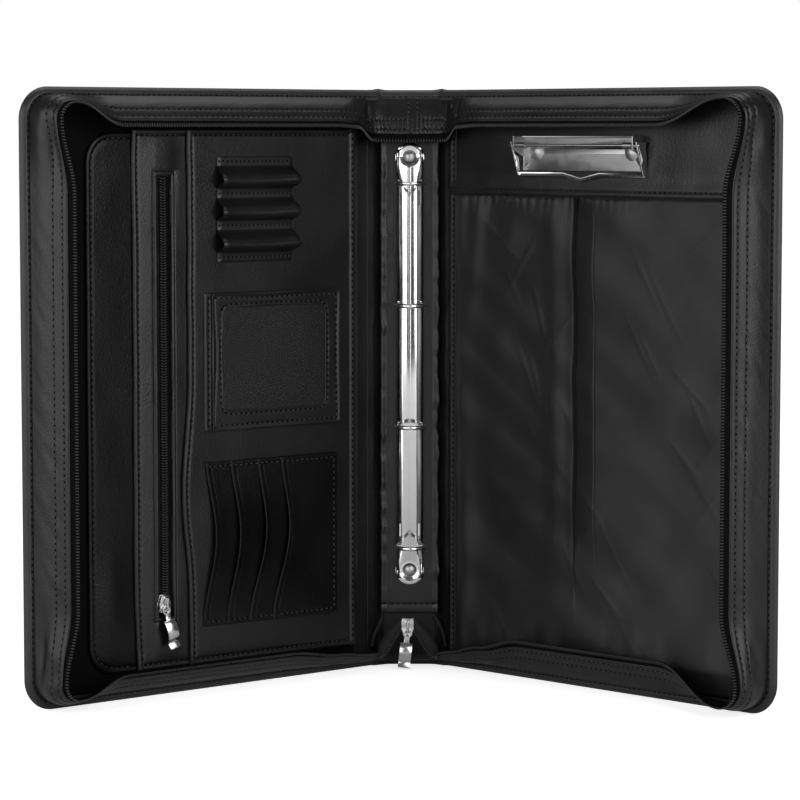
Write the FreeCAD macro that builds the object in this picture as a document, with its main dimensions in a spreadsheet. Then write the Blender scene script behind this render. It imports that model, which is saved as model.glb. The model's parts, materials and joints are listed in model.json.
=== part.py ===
"""Zip-round portfolio case for A4 papers, standing open like a book.

A narrow spine carries a four-ring binder mechanism.  A flexible leather strip joins each side of the spine to
a stiff padded cover.  A leather gusset with half a zip stands round the three free edges of each cover.  The
left cover holds a layered organiser and the right cover a writing-pad clip over a cloth sleeve.

Each cover is drawn in its own frame and then placed: X runs across the cover, +Y points out of the case and
Z is up.  "u" is the distance from the hinge side of a panel and "w" the depth into the case, measured from
the outer leather, so w runs along -Y.  All lengths are millimetres.
"""

import FreeCAD
import Part
import Sketcher
from FreeCAD import Placement, Rotation, Vector

import math
import os

DRIVING = {
    # the case as a whole
    "case_height": 382,
    "spine_width": 40,
    "hinge_strip_width": 22,
    "panel_reach": 280,
    "corner_radius": 20,
    "left_angle": 39,
    "right_angle": 44,
    "fold_gap": 1,
    "fold_depth": 1.2,
    # skins and stiffeners, as depths from the outer leather
    "leather_thickness": 1.2,
    "lining_thickness": 0.6,
    "board_start": 2.2,
    "board_end": 4.2,
    "binding_width": 7,
    "binding_depth": 5.4,
    "seam_gap": 0.1,
    "board_margin": 3,
    # gusset and main zip
    "gusset_start": 30,
    "gusset_inset": 3,
    "gusset_thickness": 1.2,
    "tape_thickness": 0.8,
    "teeth_thickness": 2.2,
    "tape_share": 0.78,
    "teeth_share": 0.94,
    # ring mechanism, heights above its leather strip
    "strip_half_width": 18.4,
    "strip_bottom": 36,
    "strip_top": 352,
    "strip_start": 4.4,
    "strip_end": 5.6,
    "plate_length": 288,
    "plate_middle": 201,
    "plate_width": 18,
    "plate_side": 2.2,
    "plate_height": 5.6,
    "plate_wall": 0.8,
    "plate_tab": 1.0,
    "ring_pitch": 80,
    "ring_wire": 2.8,
    "ring_radius": 9.4,
    "ring_centre": 13,
    "ring_notch": 4.4,
    "rivet_pitch": 274,
    "rivet_head": 9.4,
    "rivet_shank": 4,
    # organiser on the left cover
    "organiser_near": 30,
    "organiser_bottom": 18,
    "organiser_top": 356,
    "pocket_reach": 242,
    "zip_panel_reach": 206,
    "card_panel_reach": 164,
    "pocket_start": 5.4,
    "pocket_end": 7.0,
    "zip_panel_start": 7.8,
    "zip_panel_end": 9.2,
    "card_panel_start": 10,
    "card_panel_end": 11.4,
    "slot_near": 173,
    "slot_far": 192,
    "slot_bottom": 50,
    "slot_top": 328,
    # pad clip on the right cover
    "header_bottom": 315,
    "header_start": 5,
    "header_end": 6,
    "sleeve_near": 31,
    "sleeve_far": 268,
    "clip_near": 78,
    "clip_far": 177,
    "clip_bottom": 330,
    "clip_top": 352,
    "clip_plate": 1.0,
    "clip_rod": 2.0,
    "clip_rod_up": 346,
    "clip_rod_out": 14.5,
}

class Dim:
    """A length that knows both its value and the formula of spreadsheet cells it comes from."""

    def __init__(self, value, formula):
        self.value = float(value)
        self.formula = formula

    def __add__(self, other):
        other = as_dim(other)
        return Dim(self.value + other.value, f"({self.formula} + {other.formula})")

    def __radd__(self, other):
        return as_dim(other) + self

    def __neg__(self):
        return Dim(-self.value, f"(0 - {self.formula})")

    def __sub__(self, other):
        other = as_dim(other)
        return Dim(self.value - other.value, f"({self.formula} - {other.formula})")

    def __rsub__(self, other):
        return as_dim(other) - self

    def __mul__(self, factor):
        return Dim(self.value * factor, f"({self.formula} * {factor})")

    def __truediv__(self, divisor):
        return Dim(self.value / divisor, f"({self.formula} / {divisor})")


def as_dim(length):
    """Lets a plain number stand where a Dim is wanted."""
    return length if isinstance(length, Dim) else Dim(length, str(length))


def size(length):
    """The value of a length in millimetres."""
    return as_dim(length).value


class Cells:
    """Every driving dimension by name."""

    def __init__(self, table):
        for name, value in table.items():
            setattr(self, name, Dim(value, f"dims.{name}"))


D = Cells(DRIVING)
doc = FreeCAD.newDocument("portfolio_case")
sheet = doc.addObject("Spreadsheet::Sheet", "dims")
subparts = []


def fill_sheet():
    """Writes every driving dimension to the sheet: its name, its value and the value's alias."""
    for row, (name, value) in enumerate(DRIVING.items(), start=1):
        sheet.set(f"A{row}", name)
        sheet.set(f"B{row}", str(value))
        sheet.setAlias(f"B{row}", name)
    doc.recompute()


def bind(thing, prop, length):
    """Binds one property of an object to the cells a length comes from."""
    thing.setExpression(prop, as_dim(length).formula)


# ---------------------------------------------------------------- where each panel stands


def fold_line(side, angle, start):
    """The frame of a panel that folds inwards by angle at the corner point start of the panel before it."""
    turn = Rotation(Vector(0, 0, 1), -side * angle)
    depth = size(D.fold_depth)
    pivot = start + Vector(0, -depth, 0)
    return Placement(pivot + turn.multVec(Vector(0, depth, 0)), turn)


def panel_frames():
    """Frames of the spine and of the two folded sides; a hinge strip and its cover lie in one plane here."""
    half = size(D.spine_width) / 2
    return {
        "spine": Placement(),
        "left": fold_line(-1, size(D.left_angle), Vector(-half, 0, 0)),
        "right": fold_line(1, size(D.right_angle), Vector(half, 0, 0)),
    }


SIDE = {"spine": 1, "left": -1, "right": 1}


def keep(thing, label, frame):
    """Registers a finished sub-part under its label and stands it in its panel's frame."""
    thing.Label = label
    thing.Placement = frames[frame].multiply(thing.Placement)
    subparts.append(thing)
    return thing


# ---------------------------------------------------------------- sketches and pads


def origin_plane(body, role):
    """One of a body's own origin planes, such as XZ_Plane."""
    return next(f for f in body.Origin.OriginFeatures if f.Role == role)


def new_sketch(body, role, depth=0):
    """An empty sketch on a body's own plane, moved out along the plane's normal by depth."""
    sketch = body.newObject("Sketcher::SketchObject", "Outline")
    sketch.AttachmentSupport = (origin_plane(body, role), "")
    sketch.MapMode = "FlatFace"
    bind(sketch, "AttachmentOffset.Base.z", depth)
    return sketch


def add_rectangle(sketch, low_x, low_y, wide, high):
    """Draws a rectangle whose place and size are named constraints bound to the sheet."""
    x0, y0 = size(low_x), size(low_y)
    x1, y1 = x0 + size(wide), y0 + size(high)
    corners = [Vector(x0, y0), Vector(x1, y0), Vector(x1, y1), Vector(x0, y1)]
    first = sketch.GeometryCount
    for a, b in zip(corners, corners[1:] + corners[:1]):
        sketch.addGeometry(Part.LineSegment(a, b))
    for k in range(4):
        sketch.addConstraint(Sketcher.Constraint("Coincident", first + k, 2, first + (k + 1) % 4, 1))
    for k, kind in enumerate(("Horizontal", "Vertical", "Horizontal", "Vertical")):
        sketch.addConstraint(Sketcher.Constraint(kind, first + k))
    placed = (
        ("DistanceX", (-1, 1, first, 1), x0, low_x, "low_x"),
        ("DistanceY", (-1, 1, first, 1), y0, low_y, "low_y"),
        ("DistanceX", (first, 1, first, 2), x1 - x0, wide, "wide"),
        ("DistanceY", (first + 1, 1, first + 1, 2), y1 - y0, high, "high"),
    )
    for kind, where, value, formula, name in placed:
        index = sketch.addConstraint(Sketcher.Constraint(kind, *where, value))
        label = f"{name}{first}"
        sketch.renameConstraint(index, label)
        bind(sketch, f"Constraints.{label}", formula)


def add_circle(sketch, x, y, radius):
    """Draws a circle whose centre and radius are bound to the sheet."""
    circle = sketch.addGeometry(Part.Circle(Vector(size(x), size(y)), Vector(0, 0, 1), size(radius)))
    placed = (
        ("DistanceX", (-1, 1, circle, 3), size(x), x, "x"),
        ("DistanceY", (-1, 1, circle, 3), size(y), y, "y"),
        ("Radius", (circle,), size(radius), radius, "r"),
    )
    for kind, where, value, formula, name in placed:
        index = sketch.addConstraint(Sketcher.Constraint(kind, *where, value))
        label = f"{name}{circle}"
        sketch.renameConstraint(index, label)
        bind(sketch, f"Constraints.{label}", formula)


def new_body(name):
    """An empty PartDesign body."""
    return doc.addObject("PartDesign::Body", name)


def pad(body, sketch, length):
    """Pads a sketch by a bound length along its plane's normal."""
    feature = body.newObject("PartDesign::Pad", "Pad")
    feature.Profile = sketch
    bind(feature, "Length", length)
    doc.recompute()
    return feature


def pocket(body, sketch):
    """Cuts a sketch right through the body both ways, and checks that it did take something away."""
    before = body.Shape.Volume
    feature = body.newObject("PartDesign::Pocket", "Pocket")
    feature.Profile = sketch
    bind(feature, "Length", D.panel_reach)
    feature.SideType = "Symmetric"
    doc.recompute()
    if body.Shape.Volume >= before - 1e-6:
        raise ValueError(f"a pocket in {body.Name} cut nothing")
    return feature


def round_corners(body, feature, radius, wanted):
    """Rounds the edges that run along Y through the points that wanted accepts."""
    names = []
    for number, edge in enumerate(feature.Shape.Edges, start=1):
        along = edge.tangentAt(edge.FirstParameter)
        middle = edge.valueAt((edge.FirstParameter + edge.LastParameter) / 2)
        if abs(along.y) > 0.999 and wanted(middle):
            names.append(f"Edge{number}")
    fillet = body.newObject("PartDesign::Fillet", "Rounding")
    fillet.Base = (feature, names)
    bind(fillet, "Radius", radius)
    doc.recompute()
    return fillet


def across(frame, near, far):
    """Low edge and width of a piece from u near to u far, in the X of its own panel."""
    if frame == "left":
        return -as_dim(far), far - near
    return near, far - near


def plate(label, frame, reach, rise, depth, rounded=None, corners="outer"):
    """A flat piece from u, z and w ranges, with its outer corners rounded if a radius is given."""
    body = new_body(label)
    sketch = new_sketch(body, "XZ_Plane", depth[0])
    low, wide = across(frame, *reach)
    add_rectangle(sketch, low, rise[0], wide, rise[1] - rise[0])
    feature = pad(body, sketch, depth[1] - depth[0])
    if rounded:
        middle = SIDE[frame] * (size(reach[0]) + size(reach[1])) / 2
        beyond = (lambda p: True) if corners == "all" else (lambda p: (p.x - middle) * SIDE[frame] > 0)
        round_corners(body, feature, rounded, beyond)
    return keep(body, label, frame)


def opening(body, frame, reach, rise, rounded=None):
    """Cuts a rectangular window through a plate."""
    cutter = new_sketch(body, "XZ_Plane")
    low, wide = across(frame, *reach)
    add_rectangle(cutter, low, rise[0], wide, rise[1] - rise[0])
    feature = pocket(body, cutter)
    if rounded:
        x_ends = [SIDE[frame] * size(r) for r in reach]
        z_ends = [size(r) for r in rise]

        def on_window(point):
            return min(abs(point.x - x) for x in x_ends) < 0.01 and min(abs(point.z - z) for z in z_ends) < 0.01

        round_corners(body, feature, rounded, on_window)


def drill(body, spots, radius):
    """Cuts round holes through a plate at (x, z) formulas."""
    cutter = new_sketch(body, "XZ_Plane")
    for x, z in spots:
        add_circle(cutter, x, z, radius)
    pocket(body, cutter)


def prism(name, role, outline, length, depth=0):
    """A body padded from an outline of Part edges, drawn in the two directions of a plane."""
    body = new_body(name)
    sketch = new_sketch(body, role, depth)
    for edge in outline:
        sketch.addGeometry(edge)
    pad(body, sketch, length)
    return body


def polygon(points):
    """Straight edges round a list of (x, y) points of a sketch."""
    corners = [Vector(size(x), size(y)) for x, y in points]
    return [Part.LineSegment(a, b) for a, b in zip(corners, corners[1:] + corners[:1])]


# ---------------------------------------------------------------- primitives and booleans

ALONG_X = Rotation(Vector(0, 0, 1), Vector(1, 0, 0))
INWARDS = Rotation(Vector(0, 0, 1), Vector(0, -1, 0))


def primitive(kind, start, turn=Rotation(), **sizes):
    """A Part primitive with bound sizes."""
    thing = doc.addObject(f"Part::{kind}", kind)
    for name, length in sizes.items():
        bind(thing, name, length)
    thing.Placement = Placement(Vector(*(size(c) for c in start)), turn)
    return thing


def block(low, high):
    """A box between two corners."""
    wide, deep, tall = (b - a for a, b in zip(low, high))
    return primitive("Box", low, Length=wide, Width=deep, Height=tall)


def rod(start, turn, radius, length):
    """A cylinder from a start point along one of the directions above."""
    return primitive("Cylinder", start, turn, Radius=radius, Height=length)


def ball(centre, radius):
    """A sphere."""
    return primitive("Sphere", centre, Radius=radius)


def join(pieces):
    """Several pieces made one."""
    thing = doc.addObject("Part::MultiFuse", "Joined")
    thing.Shapes = pieces
    thing.Refine = True
    return thing


def cut(base, tools):
    """One piece with others taken away."""
    thing = doc.addObject("Part::Cut", "Cut")
    thing.Base = base
    thing.Tool = tools[0] if len(tools) == 1 else join(tools)
    thing.Refine = True
    return thing


def shared(first, second):
    """What two pieces have in common."""
    thing = doc.addObject("Part::Common", "Shared")
    thing.Base = first
    thing.Tool = second
    return thing


def group(pieces):
    """Pieces that stay apart but count as one sub-part."""
    thing = doc.addObject("Part::Compound", "Group")
    thing.Links = pieces
    return thing


def dome_rivet(x, depth, z, head, dome, shank, reach):
    """A dome head standing at a depth on a shank that reaches back out."""
    radius = (head**2 + dome**2) / (2 * dome)
    cap = shared(ball((x, radius - dome - depth, z), radius), rod((x, -depth, z), INWARDS, head, dome + 1))
    stem = rod((x, reach - depth, z), INWARDS, shank, reach)
    return join([cap, stem])


# ---------------------------------------------------------------- skins, boards and bindings


def cover_shell(frame):
    """The flat sandwich of one cover: outer leather, foam, board, lining and the folded binding round it."""
    name = f"{frame}_cover"
    reach = (D.hinge_strip_width + D.fold_gap, D.panel_reach - D.binding_width - D.seam_gap)
    rise = (D.binding_width + D.seam_gap, D.case_height - D.binding_width - D.seam_gap)
    skin_radius = D.corner_radius - D.binding_width
    plate(f"{name}_leather", frame, reach, rise, (0, D.leather_thickness), skin_radius)
    plate(f"{name}_foam", frame, reach, rise, (D.leather_thickness, D.board_start), skin_radius)
    board_reach = (D.hinge_strip_width + D.board_margin, reach[1])
    plate(f"{name}_board", frame, board_reach, rise, (D.board_start, D.board_end), skin_radius)
    lined = (D.board_end, D.board_end + D.lining_thickness)
    plate(f"{name}_lining", frame, board_reach, rise, lined, skin_radius)
    outer = (D.hinge_strip_width + D.fold_gap, D.panel_reach)
    binding = plate(f"{name}_binding", frame, outer, (0, D.case_height), (0, D.binding_depth), D.corner_radius)
    within = (0, D.panel_reach - D.binding_width)
    opening(binding, frame, within, (D.binding_width, D.case_height - D.binding_width))


def hinge_strip(frame):
    """The flexible strip between the spine and one cover: leather outside and lining inside."""
    reach = (D.fold_gap, D.hinge_strip_width - D.fold_gap)
    rise = (0, D.case_height)
    plate(f"{frame}_hinge_leather", frame, reach, rise, (0, D.leather_thickness))
    inner = (D.leather_thickness, D.leather_thickness + D.lining_thickness)
    plate(f"{frame}_hinge_lining", frame, reach, (D.fold_gap, D.case_height - D.fold_gap), inner)


def rivet_spots():
    """The two rivets of the ring mechanism, as (x, z) formulas."""
    return [(0, D.plate_middle - D.rivet_pitch / 2), (0, D.plate_middle + D.rivet_pitch / 2)]


def spine_shell():
    """The spine's own sandwich, with holes for the rivets through its inner layers."""
    rise = (D.binding_width + D.seam_gap, D.case_height - D.binding_width - D.seam_gap)
    skin = (D.fold_gap - D.spine_width / 2, D.spine_width / 2 - D.fold_gap)
    plate("spine_leather", "spine", skin, rise, (0, D.leather_thickness))
    stiff = (D.board_margin - D.spine_width / 2, D.spine_width / 2 - D.board_margin)
    board = plate("spine_board", "spine", stiff, rise, (D.board_start, D.board_end - D.lining_thickness))
    drill(board, rivet_spots(), D.rivet_shank / 2 + D.seam_gap / 2)
    lining = plate("spine_lining", "spine", stiff, rise, (D.board_end - D.lining_thickness, D.board_end))
    drill(lining, rivet_spots(), D.rivet_shank / 2 + D.seam_gap / 2)
    ends = []
    for edge in ((0, D.binding_width), (D.case_height - D.binding_width, D.case_height)):
        ends.append(block((skin[0], -D.binding_depth, edge[0]), (skin[1], 0, edge[1])))
    keep(group(ends), "spine_bindings", "spine")
    reach, rise = (-D.strip_half_width, D.strip_half_width), (D.strip_bottom, D.strip_top)
    strip = plate("ring_strip", "spine", reach, rise, (D.strip_start, D.strip_end))
    drill(strip, rivet_spots(), D.rivet_shank / 2 + D.seam_gap / 2)


# ---------------------------------------------------------------- gussets and the main zip


def blend(a, b, t):
    """Eases from a to b as t goes from 0 to 1."""
    t = min(1.0, max(0.0, t))
    return a + (b - a) * t * t * (3 - 2 * t)


# How the free edge of each gusset hangs: (lean towards the middle of the cover, depth of the zip).
GUSSET_LEAN = {
    "left": {"top": (21, 23), "corner": (4, 35.4), "side": (13, 36), "bottom": (17, 27)},
    "right": {"top": (21, 23.5), "corner": (4, 35.4), "side": (15, 36), "bottom": (24, 19.5)},
}
CORNER_SHARE = 0.74


def gusset_stations(frame, runs=10, turns=6):
    """Root points round three edges of a cover, with the inward direction and the lean at each."""
    lean = GUSSET_LEAN[frame]
    inset = size(D.gusset_inset)
    start = size(D.gusset_start)
    radius = size(D.corner_radius) - inset
    far = size(D.panel_reach) - inset - radius
    top = size(D.case_height) - inset
    middle = size(D.case_height) / 2
    found = []

    def add(u, z, inward, mix, edge):
        wanted = [blend(lean[edge][k], lean["corner"][k], mix) for k in (0, 1)]
        found.append(((u, z), inward, wanted))

    def towards_corner(share):
        return (share - CORNER_SHARE) / (1 - CORNER_SHARE)

    for k in range(runs):
        share = k / runs
        add(start + (far - start) * share, top, (0, -1), towards_corner(share), "top")
    for k in range(turns + 1):
        turn = math.radians(90 - 90 * k / turns)
        u, z = far + radius * math.cos(turn), top - radius + radius * math.sin(turn)
        add(u, z, (-math.cos(turn), -math.sin(turn)), 1, "top")
    for k in range(1, 2 * runs):
        share = k / (2 * runs)
        z = top - radius - (top - radius - inset - radius) * share
        mix = towards_corner(abs(z - middle) / (middle - inset - radius))
        add(far + radius, z, (-1, 0), mix, "side")
    for k in range(turns + 1):
        turn = math.radians(-90 * k / turns)
        u, z = far + radius * math.cos(turn), inset + radius + radius * math.sin(turn)
        add(u, z, (-math.cos(turn), -math.sin(turn)), 1, "bottom")
    for k in range(1, runs + 1):
        share = 1 - k / runs
        add(start + (far - start) * share, inset, (0, 1), towards_corner(share), "bottom")
    return found


def inside(side, u, w, z):
    """A point of a panel from its distance from the hinge, depth and height."""
    return Vector(side * u, -w, z)


def solid_piece(label, frame, shapes):
    """A sub-part whose shape Part's own functions make."""
    thing = doc.addObject("Part::Feature", label)
    thing.Shape = shapes[0] if len(shapes) == 1 else Part.makeCompound(shapes)
    return keep(thing, label, frame)


def quad_faces(a, b, c, d):
    """Two flat triangles that close the gap between four points."""
    return [Part.Face(Part.makePolygon([a, b, c, a])), Part.Face(Part.makePolygon([a, c, d, a]))]


def band_normals(roots, tips):
    """The direction across the thickness of a band at each of its stations."""
    last = len(roots) - 1
    normals = []
    for k, (root, tip) in enumerate(zip(roots, tips)):
        along = roots[min(k + 1, last)] - roots[max(k - 1, 0)]
        normals.append(along.cross(tip - root).normalize())
    return normals


def draped_band(roots, tips, thickness, normals=None):
    """A closed solid of even thickness between two lines of points, made of flat facets."""
    rails = [[], [], [], []]
    count = len(roots)
    for root, tip, normal in zip(roots, tips, normals or band_normals(roots, tips)):
        half = normal * (thickness / 2)
        for rail, point in zip(rails, (root + half, tip + half, tip - half, root - half)):
            rail.append(point)
    faces = []
    for k in range(count - 1):
        for n in range(4):
            m = (n + 1) % 4
            faces += quad_faces(rails[n][k], rails[m][k], rails[m][k + 1], rails[n][k + 1])
    for k in (0, count - 1):
        faces += quad_faces(*(rail[k] for rail in rails))
    solid = Part.Solid(Part.Shell(faces))
    if solid.Volume < 0:
        solid.reverse()
    return solid


def gusset(frame):
    """Leather gusset, zip tape and zip teeth of one cover, three bands that share their edges."""
    side = SIDE[frame]
    base = size(D.binding_depth) + size(D.gusset_thickness) / 2
    roots, tips = [], []
    for (u, z), inward, (lean, depth) in gusset_stations(frame):
        roots.append(inside(side, u, base, z))
        tips.append(inside(side, u + inward[0] * lean, depth, z + inward[1] * lean))
    normals = band_normals(roots, tips)
    shares = (0, size(D.tape_share), size(D.teeth_share), 1)
    slit = 0.004
    bands = (("gusset", D.gusset_thickness), ("zip_tape", D.tape_thickness), ("zip_teeth", D.teeth_thickness))
    for (name, thickness), low, high in zip(bands, shares, shares[1:]):
        near = [r + (t - r) * (low + slit) for r, t in zip(roots, tips)]
        far = [r + (t - r) * high for r, t in zip(roots, tips)]
        solid_piece(f"{frame}_{name}", frame, [draped_band(near, far, size(thickness), normals)])


def spine_gussets():
    """The two short gussets across the spine's ends, with the zip's closed end above and its open end below."""
    half = size(D.strip_half_width) - 1
    height = size(D.case_height)
    root = size(D.binding_depth) + size(D.gusset_thickness)
    inset = size(D.gusset_inset)
    fold = 17

    def band(points, thickness):
        (near_depth, near_z), (far_depth, far_z) = points
        near = [inside(1, x, near_depth, near_z) for x in (-half, half)]
        far = [inside(1, x, far_depth, far_z) for x in (-half, half)]
        return draped_band(near, far, size(thickness))

    upper = ((root, height - inset), (fold, height - 22))
    solid_piece("upper_spine_gusset", "spine", [band(upper, D.gusset_thickness)])
    hem = ((fold + 0.2, height - 22.6), (fold + 1.6, height - 29))
    tapes = [band(hem, D.tape_thickness)]
    teeth = ((fold + 1.7, height - 29.4), (fold + 2.2, height - 31.6))
    solid_piece("spine_zip_teeth", "spine", [band(teeth, D.teeth_thickness)])
    lower = ((root, inset), (fold, inset + 4))
    solid_piece("lower_spine_gusset", "spine", [band(lower, D.gusset_thickness)])
    for side in (-1, 1):
        near = [inside(1, side * 4, fold + 1.5, 16), inside(1, side * half, fold + 1.5, 10)]
        far = [inside(1, side * 4, fold + 3.5, 20.3), inside(1, side * half, fold + 3.5, 14.5)]
        tapes.append(draped_band(near, far, size(D.tape_thickness)))
    solid_piece("spine_zip_tapes", "spine", tapes)


# ---------------------------------------------------------------- ring mechanism


def plate_section():
    """Outline of the arched cover plate across the spine: X across, Y falling away from its strip."""
    half, side = size(D.plate_width) / 2, size(D.plate_side)
    top, wall = size(D.plate_height), size(D.plate_wall)
    base = -size(D.strip_end)
    feet = [(-half, side), (-half, 0), (wall - half, 0), (wall - half, side)]
    outline = []
    for mirror in (1, -1):
        points = [Vector(mirror * x, base - y) for x, y in feet]
        outline += [Part.LineSegment(a, b) for a, b in zip(points, points[1:])]
    for reach, crown in ((half, top), (half - wall, top - wall)):
        low, high, end = (Vector(x, base - y) for x, y in ((-reach, side), (0, crown), (reach, side)))
        outline.append(Part.Arc(low, high, end))
    return outline


def ring_heights():
    """Heights of the four rings."""
    middle, pitch = size(D.plate_middle), size(D.ring_pitch)
    return [middle + pitch * k for k in (-1.5, -0.5, 0.5, 1.5)]


def ring_cover_plate():
    """The arched plate: open at the rings, scooped round each rivet, with a collar and a round tab there."""
    seat, middle = D.strip_end, D.plate_middle
    arch_length = D.plate_length - 4
    arch = prism("CoverArch", "XY_Plane", plate_section(), arch_length, middle - arch_length / 2)
    cuts = []
    foot_room = 4.6
    for z in ring_heights():
        for low, high in ((foot_room, 9.6), (-9.6, -foot_room)):
            cuts.append(block((low, -seat - 10, z - D.ring_notch / 2), (high, -seat + 1, z + D.ring_notch / 2)))
    slot_centre, slot_half, slot_length = 6.2, 0.55, 9
    for end in (-1, 1):
        start = middle + D.ring_pitch * 1.5 * end - 10 * end - slot_length / 2
        for x in (-slot_centre, slot_centre):
            low = (x - slot_half, -seat - 10, start)
            cuts.append(block(low, (x + slot_half, -seat + 1, start + slot_length)))
    groove_low = middle - arch_length / 2 - 1
    groove_depth = -seat - D.plate_height + 0.3
    cuts.append(block((-0.6, groove_depth - 1, groove_low), (0.6, groove_depth, groove_low + arch_length + 2)))
    tabs, holes = [], []
    collar_inner, collar_outer, collar_rise, tab_radius = 6.6, 8.4, 3.2, 9.4
    for end, (_, z) in zip((-1, 1), rivet_spots()):
        cuts.append(rod((0, -seat - D.plate_tab, z), INWARDS, collar_inner, 20))
        bore = rod((0, 1 - seat, z), INWARDS, collar_inner, 20)
        ring = cut(rod((0, -seat, z), INWARDS, collar_outer, collar_rise), [bore])
        half_room = block((-10, -seat - 9, z if end > 0 else z - 9), (10, -seat + 1, z + 9 if end > 0 else z))
        tabs.append(shared(ring, half_room))
        tabs.append(rod((0, -seat, z), INWARDS, tab_radius, D.plate_tab))
        holes.append(rod((0, 5 - seat, z), INWARDS, D.rivet_shank / 2 + 0.05, 20))
    return keep(cut(join([cut(arch, cuts)] + tabs), holes), "ring_cover_plate", "spine")


def ring_rivets():
    """Two dome-headed rivets with shanks down to the spine's board."""
    seat = D.strip_end + D.plate_tab
    rivets = []
    for _, z in rivet_spots():
        head, reach = size(D.rivet_head) / 2, seat - D.board_start
        rivets.append(dome_rivet(0, size(seat), z, head, 2.4, D.rivet_shank / 2, reach))
    return keep(group(rivets), "ring_rivets", "spine")


def half_ring_path(side):
    """The wire of one half ring, from its foot on the blade, up its leg and over to the middle."""
    wire, radius, centre = size(D.ring_wire) / 2, size(D.ring_radius), size(D.ring_centre)
    bend, foot, tip_gap = 1.5, 1.4 + wire, 0.15
    diagonal = math.sqrt(0.5)

    def at(x, height):
        return Vector(side * x, -size(D.strip_end) - height)

    lean = math.asin(tip_gap / radius)
    knee = [at(radius - bend, foot), at(radius - bend * (1 - diagonal), foot + bend * (1 - diagonal))]
    knee.append(at(radius, foot + bend))
    over = [at(radius, centre), at(radius * diagonal, centre + radius * diagonal)]
    over.append(at(radius * math.sin(lean), centre + radius * math.cos(lean)))
    start = at(5.6, foot)
    foot_line, leg = Part.LineSegment(start, knee[0]), Part.LineSegment(knee[2], over[0])
    return [foot_line, Part.Arc(*knee), leg, Part.Arc(*over)], start


def ring_halves(frame):
    """One blade of the mechanism and the four half rings that stand on it."""
    side = -1 if frame == "left" else 1
    edges, start = half_ring_path(side)
    body = new_body("HalfRings")
    path = new_sketch(body, "XY_Plane", ring_heights()[0])
    for edge in edges:
        path.addGeometry(edge)
    section = new_sketch(body, "YZ_Plane", start.x)
    add_circle(section, start.y, ring_heights()[0], D.ring_wire / 2)
    doc.recompute()
    pipe = body.newObject("PartDesign::AdditivePipe", "Ring")
    pipe.Profile = section
    pipe.Spine = path
    doc.recompute()
    row = body.newObject("PartDesign::LinearPattern", "Row")
    row.Originals = [pipe]
    row.Direction = (origin_plane(body, "Z_Axis"), [""])
    row.Occurrences = 4
    bind(row, "Length", D.ring_pitch * 3)
    body.Tip = row
    doc.recompute()
    keep(body, f"{frame}_half_rings", "spine")
    gap, outer, low, thick = 0.3, 7.8, 0.6, 0.8
    length = D.rivet_pitch - 22
    near, far = (gap, outer) if side > 0 else (-outer, -gap)
    start_z = D.plate_middle - length / 2
    blade = block((near, -D.strip_end - low - thick, start_z), (far, -D.strip_end - low, start_z + length))
    keep(blade, f"{frame}_ring_blade", "spine")


# ---------------------------------------------------------------- zip sliders and pullers


SLIDER_WIDTH, SLIDER_LENGTH, SLIDER_NOSE = 9, 11, 5
DECK, GAP_FOR_TEETH = 1.0, 1.6
BRIDGE_WIRE, BRIDGE_RISE, BRIDGE_HALF = 0.65, 2.6, 3.3
PULLER_WIDTH, PULLER_THICK = 8, 1.2
EYE_OUTER, EYE_INNER = 3.1, 1.6
PULLER_TILT = 13
MAIN_PULLER, POCKET_PULLER = 23, 25


def zip_slider(x, depth, z, nose_way):
    """A slider: a shield-shaped deck over a like base, joined at the nose, with a bridge for the puller."""
    half, nose, reach = SLIDER_WIDTH / 2, SLIDER_NOSE / 2, SLIDER_LENGTH / 2
    tail_z, nose_z = z - reach * nose_way, z + reach * nose_way
    shield = [(x - half * 0.8, tail_z), (x + half * 0.8, tail_z), (x + half, z), (x + nose, nose_z)]
    shield += [(x - nose, nose_z), (x - half, z)]
    base = prism("SliderBase", "XZ_Plane", polygon(shield), DECK, depth)
    top_depth = depth + DECK + GAP_FOR_TEETH
    deck = prism("SliderDeck", "XZ_Plane", polygon(shield), DECK, top_depth)
    front = top_depth + DECK
    neck_z = z + (reach - 1.4) * nose_way
    neck = block((x - 1.2, -top_depth - DECK / 2, neck_z - 1), (x + 1.2, -depth - DECK / 2, neck_z + 1))
    bridge = front + BRIDGE_RISE
    ends = (z - BRIDGE_HALF, z + BRIDGE_HALF)
    legs = [rod((x, 0.2 - front, end), INWARDS, BRIDGE_WIRE, BRIDGE_RISE) for end in ends]
    knuckles = [ball((x, 0.2 - bridge, end), BRIDGE_WIRE) for end in ends]
    bar = rod((x, 0.2 - bridge, z - BRIDGE_HALF), Rotation(), BRIDGE_WIRE, 2 * BRIDGE_HALF)
    return join([base, deck, neck, bar] + legs + knuckles)


def zip_puller(length):
    """A puller with its eye on the origin: a flat neck and a strap that bows out and flicks out again."""
    thick = PULLER_THICK
    bow, flick, start = 2.6, 2.2, -6.5
    toe = 3.6
    middle, low = start - (length - 6.5 - toe) / 2, toe - length
    front = [Vector(-thick / 2, start), Vector(-thick / 2 - bow, middle), Vector(-thick / 2, low)]
    back = [p + Vector(thick, 0) for p in front]
    tips = [Vector(-thick / 2 - flick, -length + 0.4), Vector(thick / 2 - flick, -length)]
    outline = [Part.Arc(*front), Part.Arc(*back), Part.LineSegment(front[0], back[0])]
    toe_line = [front[2], tips[0], tips[1], back[2]]
    outline += [Part.LineSegment(a, b) for a, b in zip(toe_line, toe_line[1:])]
    strap = prism("Strap", "YZ_Plane", outline, PULLER_WIDTH, -PULLER_WIDTH / 2)
    eye = rod((0, thick / 2, 0), INWARDS, EYE_OUTER, thick)
    neck = block((-1.7, -thick / 2, start - 0.5), (1.7, thick / 2, -2))
    hole = rod((0, 1, 0), INWARDS, EYE_INNER, 2)
    return cut(join([eye, neck, strap]), [hole])


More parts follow.
